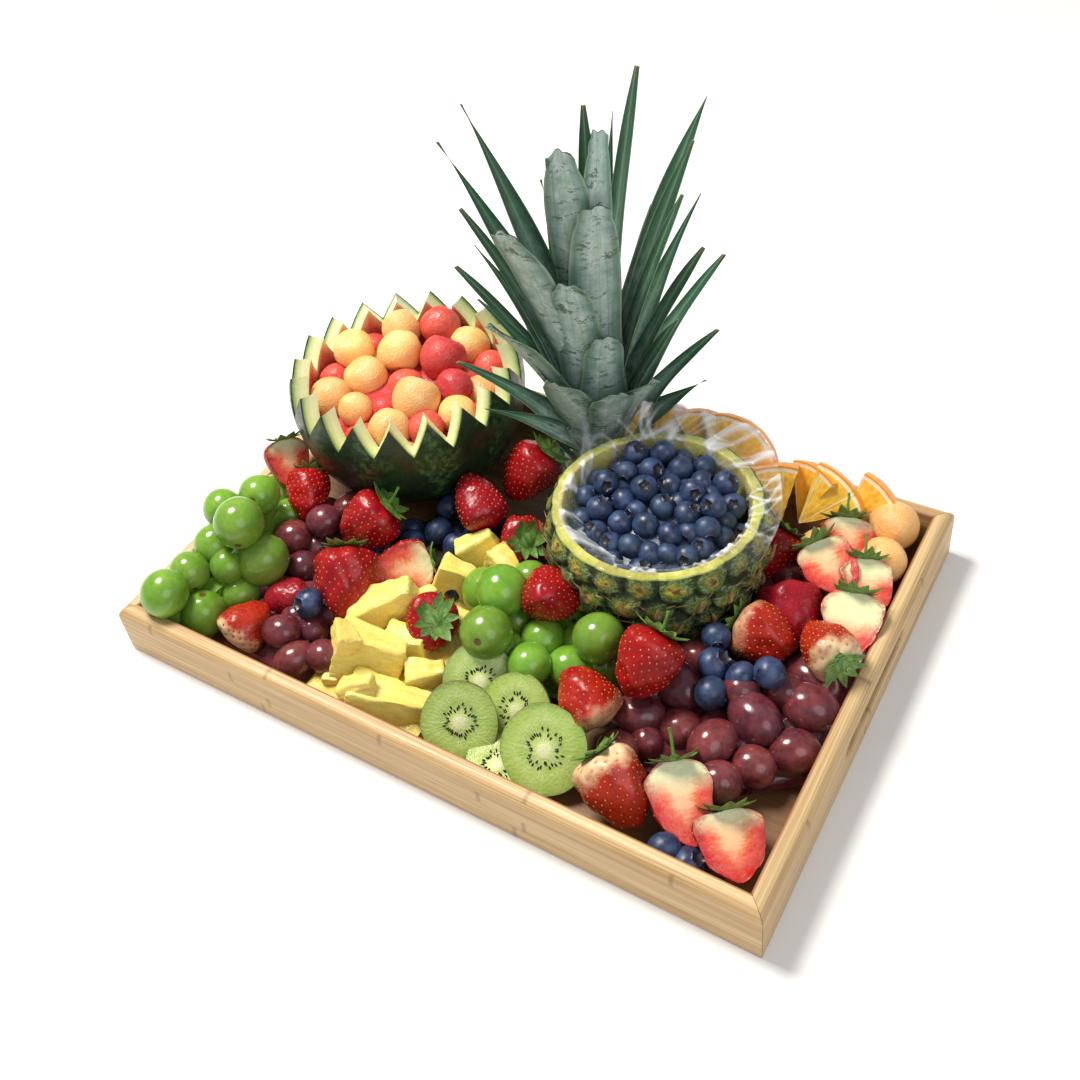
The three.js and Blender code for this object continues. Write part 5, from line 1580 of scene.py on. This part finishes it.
# %% The strawberries made
BERRY_FINISHES = [strawberry_skin, strawberry_flesh, strawberry_seed, strawberry_leaf]
DARK_SEEDED = ("front_left_pale", "right_dark", "left_dark")
total = 0
for i, (name, cap, tip, width, kind, face, stem, tone) in enumerate(STRAWBERRIES):
    axis = np.array(cap, float) - np.array(tip)
    seed_tone = 0.1 if name in DARK_SEEDED else 0.8
    parts = strawberry_body(width, float(np.linalg.norm(axis)), kind == "half", i, seed_tone)
    parts[0].tone[:] = tone
    if kind != "bare":
        parts += strawberry_cap(width, i)
    if stem:
        bend = [(0, 0, -0.4), (0.12 * stem, 0.3, 0.4 * stem), (0.27 * stem, 0.4, 0.72 * stem),
                (0.35 * stem, 0.2, 0.93 * stem)]
        stalk = tube(bend, [1.25, 0.85, 0.8, 0.95], 8, LEAF)
        stalk.tone[:] = 0.8
        parts.append(stalk)
    matrix = frame_at(cap, axis, face or (0, 0, 1))
    piece("berry_" + name, laid(join(parts), matrix), BERRY_FINISHES, ["strawberry_" + name], 50)
    total += made["berry_" + name]
print("triangles in the strawberries:", total)

# %% [markdown]
# ## Grapes
#
# Grapes let light in a little way, so their finish scatters it just under the skin. Each one
# ends in a small brown scar where it was picked from its stalk. Where a heap's hidden body would
# show between them, further grapes are set into it, aimed at it from above or from the front.

# %% Finishes: green and red grapes
def grape_finish(name, colour, patch, bloom, amount, depth):
    material, r = finish(name, 0.22, Subsurface_Weight=depth, Subsurface_Scale=0.006)
    own = r.paint("own")
    skin = mottled(r, own, 13.0, ink(colour), ink(patch), 0.75)
    waxy = bloomed(r, own, skin, ink(bloom), amount, 0.16)
    scar = r.fit(r.paint("deep"), 0.72, 0.92)
    r.colour(r.mix(scar, waxy["Colour"], ink("6b4a2a")))
    r.roughness(waxy["Roughness"])
    r.relief(r.noise(own, 2.0, 3.0), 0.08, 0.4)
    return material


green_grape_skin = grape_finish("green_grape_skin", "5a8a1a", "82aa34", "b0c484", 0.12, 0.2)
red_grape_skin = grape_finish("red_grape_skin", "470d18", "8f3a3a", "9a7a86", 0.14, 0.1)
print("finishes:", green_grape_skin.name, red_grape_skin.name)

# %% [markdown]
# Green grapes here are nearly round and red ones longer. The last rows of the profile make the
# small flat scar.

# %% One grape
def grape(radius, stretch, seed):
    rows, columns = 17, 24
    lean = np.radians(np.linspace(-80, 84, rows))
    radii = radius * np.cos(lean)
    heights = radius * stretch * np.sin(lean)
    deep = np.zeros(rows)
    deep[-1] = 1.0
    radii[-1], heights[-1] = 0.12 * radius, 0.93 * radius * stretch
    one = turned(radii, heights, columns, ends=(-radius * stretch, 0.9 * radius * stretch), deep=deep)
    one.points *= 1 + 0.015 * ripple(one.points / radius, 1.8, seed)[:, None]
    one.own = one.points + 41.3 * seed
    return one


def grape_laid(x, y, z, radius, stretch=1.04, turn=None, seed=0):
    rng = np.random.default_rng(seed + 300)
    if turn is None:
        way = unit(rng.normal(size=3)) + np.array([0.2, -0.25, -0.1])
    else:
        flip = rng.choice([0, 180])
        way = (math.cos(math.radians(turn + flip)), math.sin(math.radians(turn + flip)), rng.uniform(-0.12, 0.12))
    return laid(grape(radius, stretch, seed), frame_at((x, y, z), way, (0.1, 0.1, 1)), rng.uniform())


print("one grape has", len(grape(12, 1.1, 0).faces), "faces")

# %% [markdown]
# Each row gives a grape's place and radius in mm; red ones also say how long they are and which
# way they lie.

# %% Every grape where it lies
GREEN_GRAPES = {
    "green_grapes_left": [
        (-168.2, -37.1, 51.4, 12.8), (-180.3, -56.9, 52.6, 12.2), (-154.9, -68.1, 61.7, 15),
        (-172.9, -76.3, 43.4, 12.4), (-174.5, -98.8, 40.3, 12.2), (-174, -119.8, 43, 14.2),
        (-160.2, -109.4, 21.7, 14), (-173.4, -79, 19.4, 14), (-142.5, -69.3, 36.5, 15.4),
        (-177.2, -15.8, 30.3, 12.4), (-176, -44, 27, 12.5), (-151, -87.2, 20.6, 12),
    ],
    "green_grapes_middle": [
        (-16, -23.7, 24.4, 14), (3.2, -32.5, 43.5, 14.6), (8.3, -58.4, 38.3, 14.6), (30.1, -37.3, 20.5, 13),
        (63.8, -33.8, 36.5, 13.8), (2, -4, 22, 12), (34.5, -59.1, 26.7, 12), (7.2, -30.3, 18.4, 13),
        (52.2, -46.2, 18.4, 13),
    ],
}
RED_GRAPES = {
    "red_grapes_left": [
        (-146, -40, 27, 11, 1.1, 0), (-131.6, -24.8, 32.6, 10.4, 1.1, 20), (-127.5, -4.8, 27.2, 10.5, 1.2, 80),
        (-108.7, -99.6, 21.2, 10, 1.2, 10), (-91, -110.3, 17.9, 10, 1.3, 60), (-76, -101.5, 19, 10, 1.1, 0),
        (-129, -53, 20, 10.4, 1.1, 0), (-146.3, -7.5, 17, 11, 1.1, 0), (-108, -52, 18, 11, 1.1, 40),
        (-96.5, -86.2, 14.9, 9.5, 1, 0),
    ],
    "red_grapes_right": [
        (110.9, -35.4, 26.5, 12, 1.3, -30), (98.8, -57.5, 19.2, 11.4, 1.3, 20),
        (98.1, -79.6, 16.5, 10.6, 1.1, 0), (154.2, -39.1, 28.9, 12.4, 1.3, -30),
        (141.2, -60.4, 26.7, 11, 1.3, 70), (151.8, -76.5, 22, 10.8, 1.1, 20),
        (176.2, -20.5, 28.7, 12.2, 1.2, 10), (156.4, -18.2, 18.7, 10.4, 1.1, 0),
        (168.6, 1.8, 20.5, 11.5, 1.4, -20), (121.5, -54.6, 17.8, 11, 1.1, 0),
        (162.4, -59.3, 19.9, 10.6, 1.1, 0), (177.3, -43.7, 22.2, 11.2, 1.2, 30),
        (111.1, -12.8, 21.6, 10.6, 1.1, 0), (130.6, 19, 17, 11, 1.1, 0), (176.6, 24.8, 18.1, 11.5, 1.2, 80),
        (160.6, 37.8, 15.4, 10, 1, 0),
    ],
}
for heaps, skin, slot, core_shade_tone, small in [
    (GREEN_GRAPES, green_grape_skin, "green_grape", 0.2, 11.0), (RED_GRAPES, red_grape_skin, "red_grape", 0.1, 9.5),
]:
    for node, spots in heaps.items():
        seed = 50 * len(made)
        # the core's low tone is painted shade between the grapes
        parts = [core_of(node, 4.0, core_shade_tone, deep=0.0)]
        parts += [grape_laid(*spot, seed=seed + i) for i, spot in enumerate(spots)]
        extra = tops_of(node, spots, small * 1.5, 30, small * 0.6, small * 0.9, seed)
        parts += [grape_laid(*spot, small, seed=seed + 30 + i) for i, spot in enumerate(extra)]
        piece("bunch_" + node, join(parts), [skin], [node], 60)
        print(node, "has", len(spots), "grapes on show and", len(extra), "set into its body")

# %% [markdown]
# ## Kiwi slices
#
# A kiwi slice is read from its middle outwards: a cream core, pale rays between two rings of
# black seeds, brighter green flesh, and a thin brown skin. The rays follow the direction from
# the middle, so one noise pattern stretched along that direction draws them.

# %% Finish: kiwi flesh
def wheel(r, own, spread, squeeze):
    """Distance from the slice's axis, and a place in which noise runs out from it like spokes."""
    x, y = r.split(own)[:2]
    out = r.sums("MAXIMUM", r.sums("SQRT", r.plus(r.times(x, x), r.times(y, y))), 0.5)
    around = [r.times(r.over(side, out), spread) for side in (x, y)]
    place = r.add("ShaderNodeCombineXYZ", {0: around[0], 1: around[1], 2: r.times(out, squeeze)})
    return out, place.outputs[0]


kiwi_flesh, r = finish("kiwi_flesh", 0.3, Subsurface_Weight=0.15, Subsurface_Scale=0.004)
own = r.paint("own")
out, rays_at = wheel(r, own, 16.0, 0.16)
rays = r.noise(rays_at, 1.5, 3.0)
reach = r.over(r.plus(out, r.times(r.minus(rays, 0.5), 3.0)), 20.0)
bands = r.ramp(reach, (0.0, ink("ebeac2")), (0.12, ink("e0e5ac")), (0.2, ink("bccd74")), (0.4, ink("9dba52")),
               (0.62, ink("adc462")), (0.88, ink("9cb653")), (0.97, ink("7a973c")))
light_ray = r.times(r.fit(rays, 0.52, 0.68, 0.0, 0.6), r.fit(out, 17.0, 6.0))
bands = r.mix(light_ray, bands, ink("d8e2a0"))
wet = wet_flesh(r, own, bands, r.mix(0.35, bands, ink("eef2c4")), 1.2)
r.colour(wet["Colour"])
r.roughness(wet["Roughness"])
r.relief(r.plus(wet["Height"], r.times(rays, 1.6)), 0.4, 0.4)
print("finish:", kiwi_flesh.name)

# %% [markdown]
# The skin is brown and furry, which a rough finish with a fine grain shows well enough at this
# size. The seeds are black and shiny.

# %% Finishes: kiwi skin and seeds
kiwi_skin, r = finish("kiwi_skin", 0.75)
own = r.paint("own")
fuzz = mottled(r, own, 1.6, ink("6f5a33"), ink("8d8048"), 0.8)
r.colour(fuzz)
r.relief(r.noise(own, 0.8, 4.0), 0.5, 0.4)

kiwi_seed, r = finish("kiwi_seed", 0.25)
r.colour(r.mix(r.paint("tone"), ink("120e0c"), ink("2b211a")))
print("finishes:", kiwi_skin.name, kiwi_seed.name)

# %% [markdown]
# A slice is a low disc with furry skin round its edge. The seeds are real mesh, pressed half
# into the flesh around the pale core.

# %% A kiwi slice
KIWI = [
    ("left", (21, -108, 27), 21.5, (0.48, -0.6, 0.64)), ("right", (69, -103, 28), 23.5, (0.3, -0.6, 0.7)),
    ("behind", (15, -79, 24), 21, (0.5, -0.4, 0.75)), ("between", (40, -84, 20), 20, (0.2, -0.6, 0.75)),
    ("low", (46, -114, 14), 18, (0.1, -0.15, 0.95)),
]
KIWI_THICK = 9


def kiwi_slice(radius, seed):
    rng = np.random.default_rng(seed + 700)
    columns = 72
    face = [0.08, 0.2, 0.33, 0.46, 0.6, 0.74, 0.86, 0.94, 0.985]
    radii = [f * 0.94 for f in face] + [0.945, 0.957, 0.968, 0.98, 0.995] + face[::-1]
    low, high = -KIWI_THICK, 0.0
    heights = [low] * 9 + [low + 0.7, low + 2.6, low + 4.5, low + 6.6, low + 8.4] + [high] * 9
    finishes = [0] * 8 + [1] * 6 + [0] * 8
    radii = np.array(radii)[:, None] * radius * (1 + 0.012 * np.sin(5 * TAU * np.arange(columns) / columns + seed))
    one = turned(radii, heights, columns, finish=finishes, deep=6.0)
    out = np.hypot(one.points[:, 0], one.points[:, 1]) / radius
    top = one.points[:, 2] > -0.5
    one.points[:, 2] += np.where(top, 0.35 * np.exp(-(out / 0.2) ** 2) - 0.5 * np.exp(-((out - 0.36) / 0.12) ** 2), 0)
    one.points[:, 1] *= 0.95
    one.own = one.points * 20 / radius
    parts = [one]
    for face_z, count in ((0.0, 34), (low, 18)):
        for i in range(count):
            angle = TAU * (i + rng.uniform(-0.3, 0.3)) / count
            far = radius * rng.uniform(0.27, 0.46)
            spot = (far * math.cos(angle), 0.95 * far * math.sin(angle), face_z - (0.25 if face_z == 0 else -0.1))
            pip = turned([0.3, 0.5, 0.48, 0.26], [-0.9, -0.3, 0.4, 0.95], 6, ends=(-1.1, 1.1))
            way = (math.cos(angle), math.sin(angle), rng.uniform(-0.2, 0.2))
            parts.append(laid(pip, frame_at(spot, way, (0, 0, 1)), rng.uniform(), 2))
    return join(parts)


for i, (name, at, radius, face) in enumerate(KIWI):
    piece("slice_kiwi_" + name, laid(kiwi_slice(radius, i), frame_at(at, face, (0, 0, 1)), 0.5),
          [kiwi_flesh, kiwi_skin, kiwi_seed], ["kiwi_" + name], 40)
print("kiwi slices:", len(KIWI))

# %% [markdown]
# ## Orange wedges
#
# The wedges were cut across the orange, so the round face shows its wheel: white core,
# membranes like spokes, rows of juice sacs between them, pith and a thin peel. The finish finds
# the nearest spoke from the angle, and the pith and peel from the distance to the outside.

# %% Finish: orange pulp
orange_pulp, r = finish("orange_pulp", 0.25, Subsurface_Weight=0.2, Subsurface_Scale=0.005)
own = r.paint("own")
x, y = r.split(own)[:2]
out, sacs_at = wheel(r, own, 13.0, 0.3)
sacs = r.cells(sacs_at, 1.5)
pulp = r.mix(r.fit(sacs, 0.1, 0.75), ink("ffae1c"), ink("ffd25c"))
spoke = r.sums("FRACT", r.plus(r.times(r.sums("ARCTAN2", y, x), 10 / TAU), 0.35))
off_spoke = r.minus(0.5, r.sums("ABSOLUTE", r.minus(spoke, 0.5)))
off_spoke = r.times(r.times(off_spoke, TAU / 10), out)
membrane = r.fit(off_spoke, 0.12, 0.55, 0.85, 0.0)
membrane = r.sums("MAXIMUM", membrane, r.fit(out, 1.6, 3.2, 1.0, 0.0))
pulp = r.mix(membrane, pulp, ink("fae3b4"))
under = r.paint("deep")
rind = r.ramp(r.over(under, 6.0), (0.0, ink("f0941c")), (0.16, ink("f3a02c")), (0.24, ink("f9e6bf")),
              (0.5, ink("fbeed2")), (0.62, ink("f6b049")))
in_pulp = r.fit(under, 2.9, 3.5)
r.colour(r.mix(in_pulp, rind, pulp))
r.roughness(r.fit(r.noise(own, 3.0), 0.4, 0.6, 0.14, 0.4))
relief = r.times(r.minus(1.0, membrane), r.minus(1.4, sacs))
r.relief(relief, 0.5, 0.6)
print("finish:", orange_pulp.name)

# %% [markdown]
# The peel is pitted with oil glands about a millimetre apart.

# %% Finish: orange peel
orange_peel, r = finish("orange_peel", 0.4)
own = r.paint("own")
pores = r.cells(own, 1.3)
peel = mottled(r, own, 9.0, ink("f0941c"), ink("f6ad38"), 0.6)
r.colour(peel)
r.relief(r.fit(pores, 0.0, 0.45), 0.5, 0.5)
print("finish:", orange_peel.name)

# %% [markdown]
# A wedge is bent from a block: one side becomes the peel, the top the cut face. The flesh
# between two membranes swells a little once the knife has passed.

# %% A wedge of orange
ORANGES = [
    ("back_1", (34, 104, 44), (36, 119, 71), 178, 16, (0.3, -0.75, 0.45)),
    ("back_2", (55, 110, 44), (66, 124, 67), 120, 15, (0.4, -0.7, 0.4)),
    ("big", (72, 104, 44), (97, 115, 65), 150, 17, (0.3, -0.75, 0.6)),
    ("fan_1", (115, 92, 30), (104, 101, 62), 52, 20, (0.25, -0.85, 0.3)),
    ("fan_2", (122, 100, 26), (125, 114, 59), 50, 20, (-0.4, -0.85, 0.4)),
    ("fan_3", (124, 95, 30), (145, 112, 57), 56, 20, (0.1, -0.8, 0.6)),
    ("fan_4", (144, 106, 26), (166, 118, 52), 50, 16, (0.1, -0.8, 0.55)),
]
PEEL_SIDE = 3  # the side of a block that faces out of the orange


def orange_wedge(radius, spread, depth, seed):
    """Part of a ball: an angle of `spread` degrees, from its middle plane down to `depth`."""
    points, faces, sides = block(max(8, int(spread / 3)), 20, 8)
    angle = points[:, 0] * math.radians(spread) / 2
    z = (points[:, 2] - 1) / 2 * depth
    edge = np.sqrt(radius ** 2 - z ** 2)
    out = 0.7 + (points[:, 1] + 1) / 2 * (edge - 0.7)
    segment = np.abs(np.sin(angle * 5 + 0.35 * math.pi))
    swell = 0.55 * segment ** 0.5 * np.clip((edge - out - 3) / 3, 0, 1) * np.clip(out / 6, 0, 1)
    on_top = points[:, 2] > 0.99
    z = z + np.where(on_top, swell - 0.4, 0)
    placed_points = np.stack([out * np.cos(angle), out * np.sin(angle), z], 1)
    placed_points += 0.12 * ripple(placed_points, 9.0, seed)[:, None]
    wedge = Shape(placed_points, faces, np.where(sides == PEEL_SIDE, 1, 0), edge - out)
    wedge.own = placed_points
    return wedge


for i, (name, core, rim, spread, depth, face) in enumerate(ORANGES):
    outwards = np.array(rim, float) - np.array(core)
    face = np.array(face) - outwards * np.dot(face, outwards) / np.dot(outwards, outwards)
    wedge = orange_wedge(float(np.linalg.norm(outwards)), spread, depth, i)
    piece("wedge_orange_" + name, laid(wedge, frame_at(core, face, outwards), 0.4 + 0.05 * i),
          [orange_pulp, orange_peel], ["orange_" + name], 40)
print("orange wedges:", len(ORANGES))

# %% [markdown]
# ## Pineapple chunks
#
# Chunks are cut from rings, so each is a block that narrows to one end. Their edges are soft
# and their faces ragged, because the fibres tear where the knife passed.

# %% Pineapple chunks
CHUNKS = [
    ((-60, -61, 30), (40, 24, 20), (12, -18, 35)), ((-49, -92, 26), (38, 28, 26), (-28, 8, 28)),
    ((-38, -73, 19), (24, 18, 22), (0, 0, 10)), ((-17, -86, 17), (22, 18, 20), (0, 6, 36)),
    ((-24, -110, 19), (46, 24, 20), (-16, 10, 24)), ((-70, -80, 17), (20, 16, 20), (0, 0, 50)),
    ((-35, 2, 24), (24, 15, 26), (10, -20, 40)), ((-35, -24, 24), (26, 15, 26), (-12, 20, 20)),
    ((-16, -3, 22), (22, 16, 24), (0, 14, -20)), ((-60, -102, 12), (24, 20, 13), (0, 0, 15)),
]


def pineapple_chunk(size, seed):
    points, faces, _ = block(18, 12, 12)
    half = np.array(size) / 2
    rounding = 1.8
    flat = np.clip(points * half, -(half - rounding), half - rounding)
    off = points * half - flat
    points = flat + rounding * off / np.maximum(np.linalg.norm(off, axis=1), 1e-6)[:, None]
    narrow = (points[:, 0] / half[0] + 1) / 2
    points[:, 1] *= 1 - 0.45 * narrow
    points[:, 2] *= 1 - 0.15 * narrow
    torn = points * [0.35, 1, 1]
    points += unit((1, 1, 1)) * 0.45 * ripple(points, 11.0, seed)[:, None]
    points += 0.22 * np.sign(points) * ripple(torn, 3.2, seed + 5)[:, None]
    chunk = Shape(points, faces, deep=9.0)
    chunk.own = points + 19.7 * seed
    return chunk


def turned_by(at, degrees):
    """A move after turns about X, Y and Z, in that order as the CAD makes them."""
    about_x, about_y, about_z = (Matrix.Rotation(math.radians(d), 3, axis) for d, axis in zip(degrees, "XYZ"))
    matrix = np.eye(4)
    matrix[:3, :3] = np.array(about_x @ about_y @ about_z)
    matrix[:3, 3] = at
    return matrix


rng = np.random.default_rng(33)
parts = [core_of("pineapple_chunks", 1.5, 0.3)]
for i, (at, size, degrees) in enumerate(CHUNKS):
    parts.append(laid(pineapple_chunk(size, i), turned_by(at, degrees), rng.uniform(0.3, 0.8)))
for i, spot in enumerate(tops_of("pineapple_chunks", [(*c[0],) for c in CHUNKS], 20, 7, 3.0, 8, 71)):
    turns = (rng.uniform(-25, 25), rng.uniform(-25, 25), rng.uniform(0, 180))
    parts.append(laid(pineapple_chunk((20, 15, 12), 20 + i), turned_by(spot, turns), rng.uniform(0.2, 0.6)))
piece("chunks_of_pineapple", join(parts), [pineapple_flesh], ["pineapple_chunks"], 50)
print("pineapple chunks:", len(parts) - 1)

# %% [markdown]
# ## Light, floor and camera
#
# A pale floor, one large soft light from above on the left, a weaker one on the right and a
# bright room give the even light of a kitchen photograph. The camera stands where the
# photograph was taken from: above the right front corner, looking down across the tray.

# %% Pale floor
bpy.context.scene.view_settings.view_transform = "Standard"
pale_floor, r = finish("pale_floor", 0.7)
place = r.add("ShaderNodeTexCoord").outputs["Object"]
r.colour(r.mix(r.noise(place, 0.9, 2.0), ink("f3f2f0"), ink("f8f8f7")))
ground = bpy.data.meshes.new("ground")
reach = 6000.0
corners = [(-reach, -reach, -0.4), (reach, -reach, -0.4), (reach, reach, -0.4), (-reach, reach, -0.4)]
ground.from_pydata([[c * MM for c in corner] for corner in corners], [], [(0, 1, 2, 3)])
ground.materials.append(pale_floor)
in_scene("ground", ground)
print("the floor reaches", reach * MM, "m each way")

# %% [markdown]
# Large lamps cast soft shadows. The stronger one is warm like a window, the weaker one cool
# like the room's own light.

# %% Soft lights
def soft_light(name, at, size, power, colour):
    """A round lamp at a place in metres, turned to the middle of the platter."""
    lamp = bpy.data.lights.new(name, "AREA")
    lamp.shape = "DISK"
    lamp.size = size
    lamp.energy = power
    lamp.color = ink(colour)[:3]
    thing = in_scene(name, lamp)
    back = np.array(at) - [0, 0, 0.05]
    thing.matrix_world = Matrix(frame_at(at, back, (1, 0.1, 0)).tolist())
    return thing


lamps = [soft_light("window_light", (-0.7, 0.05, 1.5), 0.6, 37, "fff9f0"),
         soft_light("room_light", (1.2, -0.6, 1.1), 1.2, 8, "f4f8ff")]
world = bpy.data.worlds.new("pale_room")
bpy.context.scene.world = world
world.use_nodes = True
sky = world.node_tree.nodes["Background"]
sky.inputs["Color"].default_value = ink("f6f8fb")
sky.inputs["Strength"].default_value = 0.4
print("lamps at", [tuple(round(c, 2) for c in lamp.location) for lamp in lamps])

# %% [markdown]
# The camera's place and its three directions were fitted to the tray's corners in the
# photograph, so that the render lies over it.

# %% The camera
CAMERA_AT = (298.0, -397.3, 562.7)
RIGHT = (0.8390, 0.5289, -0.1277)
UP = (-0.2646, 0.6017, 0.7536)
BACK = (0.4754, -0.5985, 0.6448)
lens = bpy.data.cameras.new("photo_camera")
lens.sensor_width = 36.0
lens.lens = 41.79
lens.shift_x = 0.0551
lens.shift_y = -0.1103
lens.clip_start = 0.01
camera = in_scene("photo_camera", lens)
pose = np.eye(4)
pose[:3, :3] = np.stack([RIGHT, UP, BACK], 1)
pose[:3, 3] = np.array(CAMERA_AT) * MM
camera.matrix_world = Matrix(pose.tolist())
bpy.context.scene.camera = camera
print("the camera looks from", CAMERA_AT)

# %% [markdown]
# Last, the pieces are counted, with the triangles they hold.

# %% Count the pieces and their triangles
print("pieces:", len(made), "triangles:", sum(made.values()))
